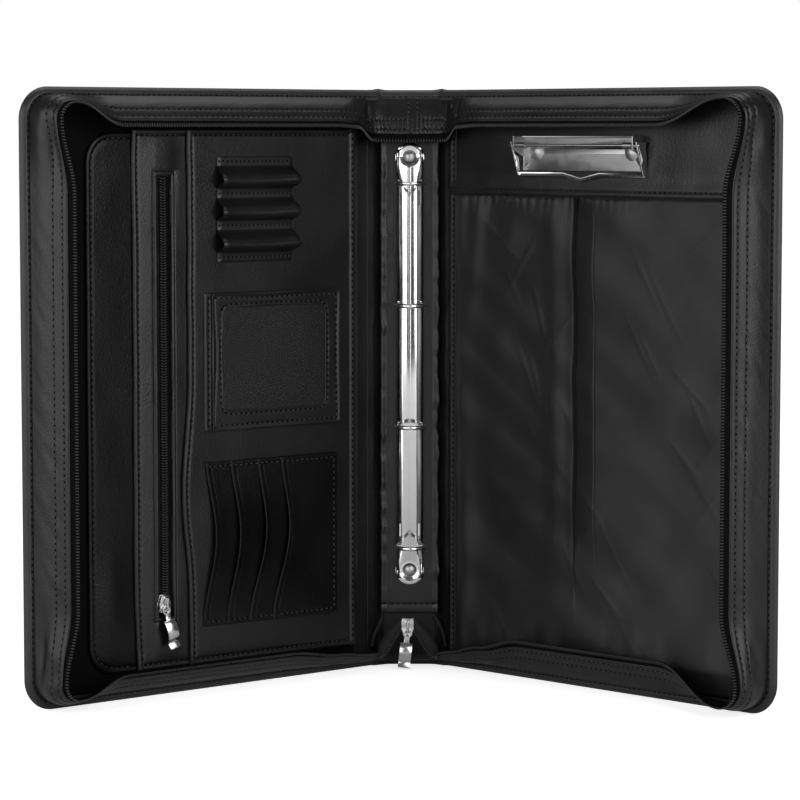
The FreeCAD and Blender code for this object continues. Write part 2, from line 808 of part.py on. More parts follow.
def zip_pull(name, frame, spot, tilt, length, nose_way):
    """A slider at a spot (x, depth, height) of a panel with its puller hanging on the bridge's lower leg."""
    x, depth, z = spot
    keep(zip_slider(x, depth, z, nose_way), f"{name}_slider", frame)
    puller = zip_puller(length)
    hang = EYE_INNER - BRIDGE_WIRE - 0.3
    eye_depth = depth + 2 * DECK + GAP_FOR_TEETH + 0.95
    puller.Placement = Placement(Vector(x, -eye_depth, z - BRIDGE_HALF - hang), Rotation(Vector(0, 1, 0), tilt))
    keep(puller, f"{name}_puller", frame)


# ---------------------------------------------------------------- organiser of the left cover


def organiser_panels():
    """Three stacked pocket panels, each open along its outer edge, and the edge that binds them."""
    rise = (D.organiser_bottom, D.organiser_top)
    near = D.organiser_near
    plate("document_pocket", "left", (near, D.pocket_reach), rise, (D.pocket_start, D.pocket_end), D.corner_radius)
    zip_panel = plate(
        "zip_pocket_panel", "left", (near, D.zip_panel_reach), rise, (D.zip_panel_start, D.zip_panel_end)
    )
    opening(zip_panel, "left", (D.slot_near + 5, D.slot_far - 5), (D.slot_bottom, D.slot_top))
    plate("card_panel", "left", (near, D.card_panel_reach), rise, (D.card_panel_start, D.card_panel_end))
    edge_reach = (near - 3, near - D.seam_gap)
    plate("organiser_edge", "left", edge_reach, rise, (D.pocket_start, D.card_panel_end))


def pocket_zip():
    """The zip of the middle panel: tape behind the slot, a closed coil and the slider near its lower end."""
    tape_reach = (D.slot_near + 1, D.slot_far - 1)
    rise = (D.slot_bottom - 5, D.slot_top + 5)
    plate("pocket_zip_tape", "left", tape_reach, rise, (D.pocket_end + D.seam_gap, D.zip_panel_start - D.seam_gap))
    coil_reach = (D.slot_near + 7, D.slot_far - 7)
    coil_rise = (D.slot_bottom + 1, D.slot_top - 1)
    plate("pocket_zip_coil", "left", coil_reach, coil_rise, (D.zip_panel_start, D.zip_panel_end))
    middle = -(size(D.slot_near) + size(D.slot_far)) / 2
    spot = (middle, size(D.zip_panel_end) + 0.3, size(D.slot_bottom) + 9.5)
    zip_pull("pocket_zip", "left", spot, -PULLER_TILT, POCKET_PULLER, 1)


def pen_loops():
    """One leather strip sewn down at four rows, so that it stands up in three loops."""
    low, pitch, loops = 275.5, 20.2, 3
    height, thick, flat = 9.5, 1.0, 1.6
    base = size(D.card_panel_end) + 0.05
    slope = thick * 0.9

    def at(z, depth):
        return Vector(-depth, z)

    outline = []
    for k in range(loops):
        start, end = low + pitch * k + flat, low + pitch * (k + 1) - flat
        crown = (start + end) / 2
        outline.append(Part.Arc(at(start, base + thick), at(crown, base + height), at(end, base + thick)))
        outline.append(Part.Arc(at(start + slope, base), at(crown, base + height - thick), at(end - slope, base)))
    for k in range(loops + 1):
        row = low + pitch * k
        first, last = k == 0, k == loops
        near, far = row - flat, row + flat
        inner = (near if first else near - slope, far if last else far + slope)
        outline.append(Part.LineSegment(at(near, base + thick), at(far, base + thick)))
        outline.append(Part.LineSegment(at(inner[0], base), at(inner[1], base)))
        if first:
            outline.append(Part.LineSegment(at(near, base), at(near, base + thick)))
        if last:
            outline.append(Part.LineSegment(at(far, base), at(far, base + thick)))
    near, length = 81, 59
    keep(prism("PenLoops", "YZ_Plane", outline, length, -near - length), "pen_loops", "left")


def window_pocket():
    """A see-through pocket: a backing, a clear film and a leather frame with a rounded window."""
    rise = (166, 253)
    base = D.card_panel_end
    plate("window_pocket_back", "left", (43, 151), rise, (base + D.seam_gap / 2, base + 0.6))
    plate("window_pocket_film", "left", (47, 143), (170, 250), (base + 0.7, base + 1))
    frame = plate("window_pocket_frame", "left", (43, 146), rise, (base + 1.1, base + 1.9))
    opening(frame, "left", (55, 137), (178, 244), 6)


def card_slots():
    """Four card slots, each a sheet whose open edge is a slow wave, stepped one over the next."""
    bottom, top, near = 42, 146, 47
    thick, step = 0.7, 0.8
    base = size(D.card_panel_end) + 0.05
    for number, reach in enumerate((151, 132, 113, 94), start=1):
        wave = [(reach, top), (reach - 8, top - 30), (reach - 3, top - 66), (reach + 2, bottom)]
        curve = Part.BSplineCurve()
        curve.interpolate([Vector(-u, z) for u, z in wave])
        corners = [Vector(-reach, top), Vector(-near, top), Vector(-near, bottom), Vector(-reach - 2, bottom)]
        outline = [curve] + [Part.LineSegment(a, b) for a, b in zip(corners, corners[1:])]
        slot = prism("CardSlot", "XZ_Plane", outline, thick, base + step * (number - 1))
        keep(slot, f"card_slot_{number}", "left")


# ---------------------------------------------------------------- clip and sleeve of the right cover


def pad_side():
    """The leather header that carries the clip, and the cloth sleeve below it."""
    reach = (D.sleeve_near - 5, D.sleeve_far + 4)
    header_rise = (D.header_bottom, D.case_height - D.binding_width - 2)
    plate("clip_header", "right", reach, header_rise, (D.header_start, D.header_end))
    sleeve_rise = (D.binding_width + 2, D.header_bottom - 0.5)
    plate("cloth_sleeve", "right", reach, sleeve_rise, (D.header_start, D.header_end - 0.2))


CLIP_RIVETS = (90, 168)
CLIP_RIVET_UP = 342


def clip_base():
    """The clip's riveted plate, with a stiffening lip and an ear at each end that holds the pivot rod."""
    start, thick = D.header_end, D.clip_plate
    near, far, low, high = D.clip_near, D.clip_far, D.clip_bottom, D.clip_top
    back = block((near, -start - thick, low), (far, -start, high))
    lip = block((near, -start - thick - 2.2, high - 1), (far, -start, high))
    ear_depth = D.clip_rod_out + 2.4
    profile = polygon([(-start, low + 8), (-start, high), (-ear_depth, high), (-ear_depth, D.clip_rod_up - 2.6)])
    ears = [prism("Ear", "YZ_Plane", profile, thick, u) for u in (near, far - thick)]
    holes = [rod((near - 5, -D.clip_rod_out, D.clip_rod_up), ALONG_X, D.clip_rod / 2 + 0.05, far - near + 10)]
    holes += [rod((u, 0, CLIP_RIVET_UP), INWARDS, 2.05, 20) for u in CLIP_RIVETS]
    keep(cut(join([back, lip] + ears), holes), "clip_base", "right")
    pin = rod((near - 4, -D.clip_rod_out, D.clip_rod_up), ALONG_X, D.clip_rod / 2, far - near + 8)
    keep(pin, "clip_pivot_rod", "right")


def clip_rivets():
    """Two wide dome rivets on top of the clip's plate."""
    seat = D.header_end + D.clip_plate
    rivets = [dome_rivet(u, size(seat), CLIP_RIVET_UP, 5.6, 2.4, 2, D.clip_plate) for u in CLIP_RIVETS]
    keep(group(rivets), "clip_rivets", "right")


def clip_springs():
    """Two torsion springs round the pivot rod, each drawn as its closed coil."""
    inner, wall, length = size(D.clip_rod) / 2 + 0.2, 0.8, 7
    coils = []
    for u in (D.clip_near + 2, D.clip_far - 9):
        start = (u, -D.clip_rod_out, D.clip_rod_up)
        coils.append(cut(rod(start, ALONG_X, inner + wall, length), [rod(start, ALONG_X, inner, length)]))
    keep(group(coils), "clip_springs", "right")


def clip_bail():
    """The sprung bar that holds the paper: two tapered arms that turn on the rod and a bar that dips for a finger."""
    near, far = D.clip_near - 1.6, D.clip_far + 1.6
    rod_up, rod_out = D.clip_rod_up, D.clip_rod_out
    bar_up, bar_out = D.clip_bottom - 2, D.header_end + 1.2
    thick = 1.2
    arm = polygon([
        (-rod_out - 2.4, rod_up + 2.2),
        (-D.header_end - 2, rod_up + 2.2),
        (1 - bar_out, bar_up + 1),
        (1 - bar_out, bar_up - 1),
        (-bar_out - 2.6, bar_up - 1),
    ])
    arms = [prism("Arm", "YZ_Plane", arm, thick, u) for u in (near - thick, far)]
    middle, dip, dip_half, bar_tall, bar_thick = (near + far) / 2, 3.4, 15, 2.6, 2.2
    upper = [(near - thick, 0), (middle - dip_half, 0), (middle, -dip), (middle + dip_half, 0), (far + thick, 0)]
    lower = [(u, rise - bar_tall) for u, rise in reversed(upper)]
    outline = polygon([(u, bar_up + 1 + rise) for u, rise in upper + lower])
    bar = prism("Bar", "XZ_Plane", outline, bar_thick, bar_out - 1)
    bore = rod((near - 10, -rod_out, rod_up), ALONG_X, D.clip_rod / 2 + 0.06, far - near + 20)
    keep(cut(join(arms + [bar]), [bore]), "clip_bail", "right")


# ---------------------------------------------------------------- building, checking and writing


def overall_box():
    """The box round every sub-part."""
    box = FreeCAD.BoundBox()
    for thing in subparts:
        box.add(thing.Shape.BoundBox)
    return box


def stand_on_origin():
    """Moves everything so that the origin is the centre of the footprint, on the surface the case stands on."""
    box = overall_box()
    shift = Vector(-box.Center.x, -box.Center.y, -box.ZMin)
    for thing in subparts:
        thing.Placement = Placement(shift, Rotation()).multiply(thing.Placement)
    doc.recompute()
    print(f"origin shift {shift.x:.4f} {shift.y:.4f} {shift.z:.4f}")


def check_everything():
    """Stops if any object failed to build or any sub-part is not one or more valid closed solids."""
    for thing in doc.Objects:
        if "Invalid" in thing.State or "Error" in thing.State:
            raise ValueError(f"{thing.Name} failed: {thing.State}")
    for thing in subparts:
        shape = thing.Shape
        if shape.isNull() or not shape.isValid() or not shape.Solids:
            raise ValueError(f"{thing.Label} has no valid shape")
        if any(solid.Volume <= 0 for solid in shape.Solids):
            raise ValueError(f"{thing.Label} is inside out")


def write_parts():
    """Writes one STEP file for each sub-part."""
    os.makedirs("parts", exist_ok=True)
    for old in os.listdir("parts"):
        os.remove(os.path.join("parts", old))
    for thing in subparts:
        thing.Shape.exportStep(os.path.join("parts", f"{thing.Label}.step"))
    print(f"{len(subparts)} sub-parts written")


fill_sheet()
frames = panel_frames()
spine_shell()
for panel in ("left", "right"):
    hinge_strip(panel)
    cover_shell(panel)
    gusset(panel)
spine_gussets()
ring_cover_plate()
ring_rivets()
for panel in ("left", "right"):
    ring_halves(panel)
zip_pull("main_zip", "spine", (-1.5, 17.6, 28), PULLER_TILT / 2, MAIN_PULLER, -1)
organiser_panels()
pocket_zip()
pen_loops()
window_pocket()
card_slots()
pad_side()
clip_base()
clip_rivets()
clip_springs()
clip_bail()
doc.recompute()
stand_on_origin()
check_everything()
write_parts()
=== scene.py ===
"""Looks of the zip-round portfolio case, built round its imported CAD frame.

Places are given on the case's own panels.  On a cover "u" is the distance in millimetres from the spine's
edge, "w" the depth into the case from the outer leather and "z" the height.  "s" runs round the fold: it is
the distance along the outer leather from the middle of the spine, so s = u + 20 on a cover.
"""

import json
from math import cos, exp, hypot, pi, radians, sin, sqrt

import bmesh
import bpy
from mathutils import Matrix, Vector, noise

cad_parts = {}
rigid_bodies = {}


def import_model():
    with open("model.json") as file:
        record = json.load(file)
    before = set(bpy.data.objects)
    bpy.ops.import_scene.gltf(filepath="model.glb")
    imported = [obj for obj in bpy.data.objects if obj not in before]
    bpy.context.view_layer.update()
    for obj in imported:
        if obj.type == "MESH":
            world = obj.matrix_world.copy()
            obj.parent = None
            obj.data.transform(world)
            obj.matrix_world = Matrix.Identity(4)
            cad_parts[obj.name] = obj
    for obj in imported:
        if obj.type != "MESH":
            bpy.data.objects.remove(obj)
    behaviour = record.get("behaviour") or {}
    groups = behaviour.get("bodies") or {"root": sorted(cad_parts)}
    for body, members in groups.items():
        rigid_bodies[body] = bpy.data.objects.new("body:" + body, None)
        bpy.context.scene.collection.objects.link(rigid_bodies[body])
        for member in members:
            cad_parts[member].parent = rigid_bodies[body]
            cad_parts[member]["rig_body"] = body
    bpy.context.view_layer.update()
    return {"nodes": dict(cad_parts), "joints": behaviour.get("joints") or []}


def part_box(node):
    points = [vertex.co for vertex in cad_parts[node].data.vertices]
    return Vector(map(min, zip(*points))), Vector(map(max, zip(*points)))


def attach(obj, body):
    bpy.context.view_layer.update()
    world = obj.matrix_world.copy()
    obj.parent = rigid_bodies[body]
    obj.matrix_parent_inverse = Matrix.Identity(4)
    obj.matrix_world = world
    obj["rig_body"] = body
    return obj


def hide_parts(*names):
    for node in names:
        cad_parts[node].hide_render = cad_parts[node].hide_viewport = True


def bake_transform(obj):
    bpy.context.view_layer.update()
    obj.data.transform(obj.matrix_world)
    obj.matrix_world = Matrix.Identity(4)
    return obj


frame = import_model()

MM = 0.001
UP = Vector((0, 0, 1))

# ---------------------------------------------------------------- driving sizes, in millimetres

HEIGHT = 382.0
HALF_SPINE = 20.0
COVER_REACH = 280.0
CORNER = 20.0
BINDING_WIDTH = 7.0
GUSSET_INSET = 3.0
SPINE_HALF_SKIN = 19.6
STRIP_MIDDLE = 31.0
PLEATED_TO = 56.0
COVER_SKIN_START = 45.5
FAR_ROUND = 1000.0
STITCH_PITCH = 4.0
HINGE_DEPTH = 1.2
FOLD_TURN = (15.0, 25.0)
SLOW_TURN = (8.0, 40.0)

# Shares of a gusset band, from its root (0) to the zip's free edge (1).
LEATHER_SHARE = 0.79
TEETH_SHARE = 0.95
STITCH_ROWS = (0.53, 0.70)
GUSSET_SHARES = [0, 0.03, 0.07, 0.12, 0.18, 0.24, 0.3, 0.36, 0.42, 0.47, 0.5, 0.515, 0.53, 0.545, 0.56,
                 0.6, 0.64, 0.67, 0.685, 0.70, 0.715, 0.73, 0.76, LEATHER_SHARE]
TAPE_SHARES = [0.74, 0.78, 0.82, 0.86, 0.9, 0.94, 0.965]

# The organiser and its layers on the left cover: places in u and z, and the depth of each layer.
ORGANISER_FOOT, ORGANISER_TOP = 18.0, 356.0
DOCUMENT_DEPTH, ZIP_PANEL_DEPTH, CARD_PANEL_DEPTH = 6.0, 8.6, 10.6
ORGANISER_STITCH = 3.3
POCKET_CORNER = 19.0
SLOT_NEAR, SLOT_FAR, SLOT_FOOT, SLOT_HEAD = 173.6, 185.4, 50.0, 328.0
SLOT_STITCH = 2.3
# The window pocket's frame, its opening and the seam round it: near and far u, low and high z.
WINDOW, WINDOW_HOLE, WINDOW_SEAM = (43, 145.5, 166, 253), (55, 137, 178, 244), (53.0, 139.0, 176.0, 246.0)
CARDS_NEAR, CARDS_FOOT, CARDS_TOP, CARDS_LAYER = 47.0, 42.0, 146.0, 0.85
# Each card slot's mouth: u at its top, u at its foot, and how far it bulges back between them.
CARD_MOUTHS = ((150, 152, 8), (131, 134, 8), (110, 117, 9), (92, 99, 9))

# The satin sleeve and the header on the right cover.
SLEEVE_NEAR, SLEEVE_FAR, SLEEVE_FOOT, SLEEVE_TOP = 16.0, 271.0, 9.0, 316.0
SLEEVE_DEPTH, SLEEVE_SLACK = 6.3, 3.4
PLEAT_START, PLEAT_WIDTH, PLEAT_DROP = 121.5, 17.5, 3.7
PLEAT_COLUMNS = [121.3, 121.52, 122.0, 138.5, 139.05, 139.8, 140.6]
HEADER_FOOT, HEADER_TOP = 314.0, 373.5


# ---------------------------------------------------------------- panels and the fold


class Panel:
    """A flat panel; at() gives a row frame point in metres from u, w and z in millimetres."""

    def __init__(self, origin, along, inward):
        self.origin, self.along, self.inward = origin, along, inward

    def at(self, u, w, z):
        return self.origin + (self.along * u + self.inward * w + UP * z) * MM


def joint_place(name):
    """A joint's place on the floor plan."""
    found = next(j for j in frame["joints"] if j["name"] == name)
    return Vector(found["pos_m"]) * Vector((1, 1, 0))


def side_panel(side):
    """A cover's panel, from the two fold lines that its hinge strip turns on."""
    first, second = (joint_place(f"{NAME[side]}_{fold}_fold") for fold in ("strip", "cover"))
    along = (second - first).normalized()
    inward = Vector((along.y, -along.x, 0)) * side
    return Panel(first - inward * HINGE_DEPTH * MM, along, inward)


NAME = {-1: "left", 1: "right"}
STRIP = {-1: "left_strip", 1: "right_strip"}
COVER = {-1: "left_cover", 1: "right_cover"}
_low, _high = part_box("spine_leather")
SPINE = Panel(Vector(((_low.x + _high.x) / 2, _high.y, 0)), Vector((1, 0, 0)), Vector((0, -1, 0)))
LEFT, RIGHT = side_panel(-1), side_panel(1)
PANEL = {-1: LEFT, 1: RIGHT}


def clamp(t):
    return min(1.0, max(0.0, t))


def ease(a, b, t):
    """Eases from a to b as t goes from 0 to 1."""
    t = clamp(t)
    return a + (b - a) * t * t * (3 - 2 * t)


def bell(off, width):
    """1 where off is 0, falling away over the given width."""
    return exp(-(off / width) ** 2)


def evenly(a, b, count):
    """Evenly spaced values from a to b."""
    return [a + (b - a) * k / count for k in range(count + 1)]


def wrap(side, s, w, z, turn=FOLD_TURN):
    """A point at distance s round the fold, depth w and height z."""
    mix = ease(0, 1, (s - turn[0]) / (turn[1] - turn[0]))
    return SPINE.at(side * s, w, z).lerp(PANEL[side].at(s - HALF_SPINE, w, z), mix)


def ripple(x, y, seed=0.0):
    """Smooth noise from -1 to 1."""
    return noise.noise(Vector((x, y, seed)))


def fold_blends(side):
    """The two bodies and two places of each half of a hinge strip."""
    places = [wrap(side, s, 3, 0) for s in (15, 25, 37, 47)]
    return ("spine", STRIP[side], *places[:2]), (STRIP[side], COVER[side], *places[2:])


# ---------------------------------------------------------------- materials


def add(tree, kind, **settings):
    """A shader node with its settings: sockets by name, or node properties."""
    node = tree.nodes.new("ShaderNode" + kind)
    for key, value in settings.items():
        if key in node.inputs:
            node.inputs[key].default_value = value
        else:
            setattr(node, key, value)
    return node


class Surface:
    """A principled material whose textures lie in the object's own coordinates."""

    def __init__(self, name, colour, roughness, specular=0.5, metallic=0.0):
        self.material = bpy.data.materials.new(name)
        self.material.use_nodes = True
        self.tree = self.material.node_tree
        self.inputs = self.tree.nodes["Principled BSDF"].inputs
        self.set("Base Color", (*colour, 1))
        self.set("Roughness", roughness)
        self.set("Metallic", metallic)
        self.set("Specular IOR Level", specular)
        self.place = add(self.tree, "TexCoord").outputs["Object"]

    def set(self, socket, value):
        self.inputs[socket].default_value = value

    def texture(self, kind, scale, place=None, output="Fac", **settings):
        """The output of a new texture."""
        node = add(self.tree, "Tex" + kind, Scale=scale, **settings)
        self.tree.links.new(place or self.place, node.inputs["Vector"])
        return node.outputs[output]

    def roughened(self, source, low, high):
        """Roughness from low to high."""
        node = add(self.tree, "MapRange", **{"To Min": low, "To Max": high})
        self.tree.links.new(source, node.inputs["Value"])
        self.tree.links.new(node.outputs["Result"], self.inputs["Roughness"])

    def tinted(self, source, dark, light):
        """Colour variation from dark to light."""
        node = add(self.tree, "ValToRGB")
        for element, colour, position in zip(node.color_ramp.elements, (dark, light), (0.3, 0.7)):
            element.color = (*colour, 1)
            element.position = position
        self.tree.links.new(source, node.inputs["Fac"])
        self.tree.links.new(node.outputs["Color"], self.inputs["Base Color"])

    def bumped(self, *layers):
        """Chains bumps of (height output, strength, distance in metres); returns the material."""
        normal = None
        for source, strength, distance in layers:
            bump = add(self.tree, "Bump", Strength=strength, Distance=distance)
            self.tree.links.new(source, bump.inputs["Height"])
            if normal:
                self.tree.links.new(normal, bump.inputs["Normal"])
            normal = bump.outputs["Normal"]
        self.tree.links.new(normal, self.inputs["Normal"])
        return self.material


def leather(name, dark, light, roughness, grain=1.0, specular=0.42):
    """Smooth corrected-grain leather: pebbles, fine pores, soft creases and uneven polish."""
    look = Surface(name, dark, roughness, specular)
    cells = look.texture("Voronoi", 750.0, output="Distance", feature="SMOOTH_F1", Smoothness=0.6)
    pores = look.texture("Noise", 1500.0, Detail=2.0)
    creases = look.texture("Noise", 130.0, Detail=5.0, Distortion=0.2)
    clouds = look.texture("Noise", 28.0, Detail=3.0)
    look.tinted(clouds, dark, light)
    look.roughened(clouds, roughness - 0.07, roughness + 0.09)
    return look.bumped((creases, 0.11 * grain, 0.0011), (cells, 0.28 * grain, 0.0003),
                       (pores, 0.4 * grain, 0.0002))


def woven(name, dark, light, roughness, pitch, sheen, angle=0.0, specular=0.35):
    """Woven cloth: two crossed thread waves with uneven colour."""
    look = Surface(name, dark, roughness, specular)
    turned = add(look.tree, "Mapping", Rotation=(0, 0, angle))
    look.tree.links.new(look.place, turned.inputs["Vector"])
    both = add(look.tree, "Math", operation="MAXIMUM")
    for number, direction in enumerate("XZ"):
        thread = look.texture("Wave", 1 / pitch / 2, turned.outputs["Vector"], Distortion=0.6,
                              wave_type="BANDS", bands_direction=direction)
        look.tree.links.new(thread, both.inputs[number])
    clouds = look.texture("Noise", 55.0, Detail=4.0)
    look.tinted(clouds, dark, light)
    look.set("Sheen Weight", sheen)
    look.set("Sheen Roughness", 0.4)
    return look.bumped((clouds, 0.1, 0.0005), (both.outputs["Value"], 0.35, pitch * 0.35))


def plated(name, colour, roughness, scratch=0.02):
    """Plated metal: uneven polish, fine scratches and slight tarnish."""
    look = Surface(name, colour, roughness, metallic=1.0)
    clouds = look.texture("Noise", 160.0, Detail=4.0)
    brush = look.texture("Noise", 900.0, Detail=2.0)
    look.roughened(clouds, roughness * 0.6, roughness * 1.5)
    look.tinted(clouds, tuple(c * 0.93 for c in colour), colour)
    return look.bumped((clouds, 0.05, 0.0003), (brush, scratch, 0.0001))


def plain(name, colour, roughness, scale, specular=0.5):
    """A moulded or pressed surface with slight mottling."""
    look = Surface(name, colour, roughness, specular)
    clouds = look.texture("Noise", scale, Detail=3.0)
    look.tinted(clouds, tuple(c * 0.8 for c in colour), tuple(c * 1.2 for c in colour))
    look.roughened(clouds, roughness - 0.05, roughness + 0.05)
    return look.bumped((clouds, 0.15, 0.0002))


def clear_film():
    """Clear vinyl: mostly see-through, with a soft gloss."""
    look = Surface("clear_film", (0.05, 0.05, 0.052), 0.24, specular=0.8)
    look.set("Alpha", 0.16)
    return look.bumped((look.texture("Noise", 40.0, Detail=1.0), 0.12, 0.0012))


def grey(level, blue):
    """A grey with its own blue level."""
    return (level, level, blue)


LEATHER = leather("leather", grey(0.0055, 0.0059), grey(0.0088, 0.0093), 0.32)
FOLDED_LEATHER = leather("folded_leather", grey(0.006, 0.0064), grey(0.0095, 0.0101), 0.30, 0.8)
# Painted light: a lighter copy of the leather, standing in for the light that the rounded edge binding
# catches.
LIGHT_PAINTED_EDGE_LEATHER = leather("light_painted_edge_leather", grey(0.018, 0.0189), grey(0.026, 0.0272), 0.34, 0.8)
# Painted shade: a darker copy of the leather, standing in for the shade on the document pocket, the card
# slots and the right hinge edge.
SHADE_PAINTED_LEATHER = leather("shade_painted_leather", grey(0.0022, 0.0024), grey(0.0036, 0.0039), 0.30, specular=0.22)
SATIN = woven("satin_lining", grey(0.0045, 0.005), grey(0.008, 0.0088), 0.38, 0.00035, 0.12, specular=0.5)
CLOTH = woven("board_lining", grey(0.005, 0.0055), grey(0.008, 0.0088), 0.7, 0.0005, 0.1)
# Painted shade: the covers' lining is near black, standing in for the shadow in the gaps between the zips and
# the pockets.
SHADE_PAINTED_LINING_CLOTH = woven("cover_lining", grey(0.0009, 0.001), grey(0.0015, 0.0017), 0.7, 0.0005, 0.0, specular=0.08)
TAPE = woven("zip_tape", grey(0.001, 0.0011), grey(0.0018, 0.002), 0.75, 0.0006, 0.0, 0.6, 0.08)
# Painted highlight: the coil is a lighter grey than the black nylon, so that its turns read as bright glints.
HIGHLIGHT_PAINTED_COIL = plain("nylon_coil_painted_highlight", grey(0.024, 0.0247), 0.33, 700.0)
THREAD = plain("thread", grey(0.022, 0.023), 0.5, 1500.0)
# Painted shade: near-black bars on the leather stand for the shade inside the needle holes.
NEEDLE_HOLE_SHADE = plain("needle_hole_painted_shade", grey(0.0012, 0.0013), 0.9, 1500.0, 0.05)
CHROME = plated("bright_nickel", grey(0.83, 0.84), 0.11)
NICKEL = plated("zip_nickel", grey(0.74, 0.75), 0.2)
BRUSHED = plated("brushed_nickel", grey(0.46, 0.47), 0.36, 0.006)
RIVET = plated("dull_nickel", grey(0.5, 0.5), 0.4)
SPRING = plated("spring_wire", grey(0.5, 0.5), 0.3)
BOARD = plain("grey_board", (0.3, 0.28, 0.26), 0.85, 300.0)
FOAM = plain("foam", grey(0.05, 0.05), 0.9, 500.0)
FILM = clear_film()


# ---------------------------------------------------------------- mesh helpers


def mesh_object(name, points, faces, material):
    """A smooth-shaded mesh object from row frame points."""
    mesh = bpy.data.meshes.new(name)
    mesh.from_pydata([tuple(p) for p in points], [], faces)
    mesh.validate()
    mesh.materials.append(material)
    mesh.polygons.foreach_set("use_smooth", [True] * len(mesh.polygons))
    obj = bpy.data.objects.new(name, mesh)
    bpy.context.scene.collection.objects.link(obj)
    return obj


def closed_object(name, points, faces, material, sharp=None):
    """A closed mesh object with its faces turned outwards; edges over the sharp angle stay crisp."""
    obj = mesh_object(name, points, faces, material)
    work = bmesh.new()
    work.from_mesh(obj.data)
    bmesh.ops.recalc_face_normals(work, faces=work.faces)
    work.to_mesh(obj.data)
    work.free()
    if sharp:
        obj.data.set_sharp_from_angle(angle=radians(sharp))
    return obj


def settle(obj, slot, body, *stands_for):
    """Attaches a piece to its body, or bakes it in place when given a blend of two bodies, and hides the CAD
    nodes that it stands for. The slot is not used.
    """
    if isinstance(body, str):
        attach(obj, body)
    else:
        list(body)
        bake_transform(obj)
    if stands_for:
        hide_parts(*stands_for)
    return obj


def grid_of(rows, columns, place):
    """Rows of points; place takes a column's value and a row's."""
    return [[place(c, r) for c in columns] for r in rows]


def grid_normals(grid):
    """Unit normals of a grid of points."""
    rows, columns = len(grid), len(grid[0])

    def normal(j, i):
        down = grid[min(i + 1, rows - 1)][j] - grid[max(i - 1, 0)][j]
        across = grid[i][min(j + 1, columns - 1)] - grid[i][max(j - 1, 0)]
        return down.cross(across).normalized()

    return grid_of(range(rows), range(columns), normal)


def thick_sheet(name, grid, thickness, material, normals=None, joined=False):
    """A closed sheet with a round rim, from the grid of points of its middle surface.

    Ends that are joined on to the next pieces have a flat rim instead of a round one.
    """
    rows, columns = len(grid), len(grid[0])
    normals = normals or grid_normals(grid)
    half = thickness * MM / 2
    points = []
    for way in (half, -half):
        points += [grid[i][j] + normals[i][j] * way for i in range(rows) for j in range(columns)]
    count = rows * columns
    faces = []
    for i in range(rows - 1):
        for j in range(columns - 1):
            a, b = i * columns + j, (i + 1) * columns + j
            faces.append((a, a + 1, b + 1, b))
            faces.append((count + a, count + b, count + b + 1, count + a + 1))
    rim = [(0, j) for j in range(columns)] + [(i, columns - 1) for i in range(1, rows)]
    rim += [(rows - 1, j) for j in range(columns - 2, -1, -1)] + [(i, 0) for i in range(rows - 2, 0, -1)]
    first = len(points)
    for i, j in rim:
        inner = grid[min(max(i, 1), rows - 2)][min(max(j, 1), columns - 2)]
        flat = joined and i in (0, rows - 1)
        out = Vector() if flat else (grid[i][j] - inner).normalized()
        points.append(grid[i][j] + out * half)
    for k, (i, j) in enumerate(rim):
        n = (k + 1) % len(rim)
        a, b = i * columns + j, rim[n][0] * columns + rim[n][1]
        faces.append((a, first + k, first + n, b))
        faces.append((first + k, count + a, count + b, first + n))
    return closed_object(name, points, faces, material, 52)


def tube_faces(first, n, rings):
    """Faces of a tube of rings of n points, capped at both ends."""
    faces = []
    for ring in range(rings - 1):
        for k in range(n):
            a, b = first + ring * n + k, first + ring * n + (k + 1) % n
            faces.append((a, b, b + n, a + n))
    last = first + (rings - 1) * n
    return faces + [tuple(range(first, first + n))[::-1], tuple(range(last, last + n))]


def swept(name, sections, material):
    """A tube through a list of equal closed sections, capped at both ends."""
    points = [p for section in sections for p in section]
    return closed_object(name, points, tube_faces(0, len(sections[0]), len(sections)), material, 60)


def resample(points, normals, pitch):
    """Evenly spaced (point, normal) pairs along a line; pitch in millimetres."""
    lengths = [0.0]
    for a, b in zip(points, points[1:]):
        lengths.append(lengths[-1] + (b - a).length)
    count = max(2, round(lengths[-1] / (pitch * MM)))
    found, k = [], 0
    for n in range(count + 1):
        target = lengths[-1] * n / count
        while k < len(lengths) - 2 and lengths[k + 1] < target:
            k += 1
        t = clamp((target - lengths[k]) / max(lengths[k + 1] - lengths[k], 1e-9))
        found.append((points[k].lerp(points[k + 1], t), normals[k].lerp(normals[k + 1], t).normalized()))
    return found


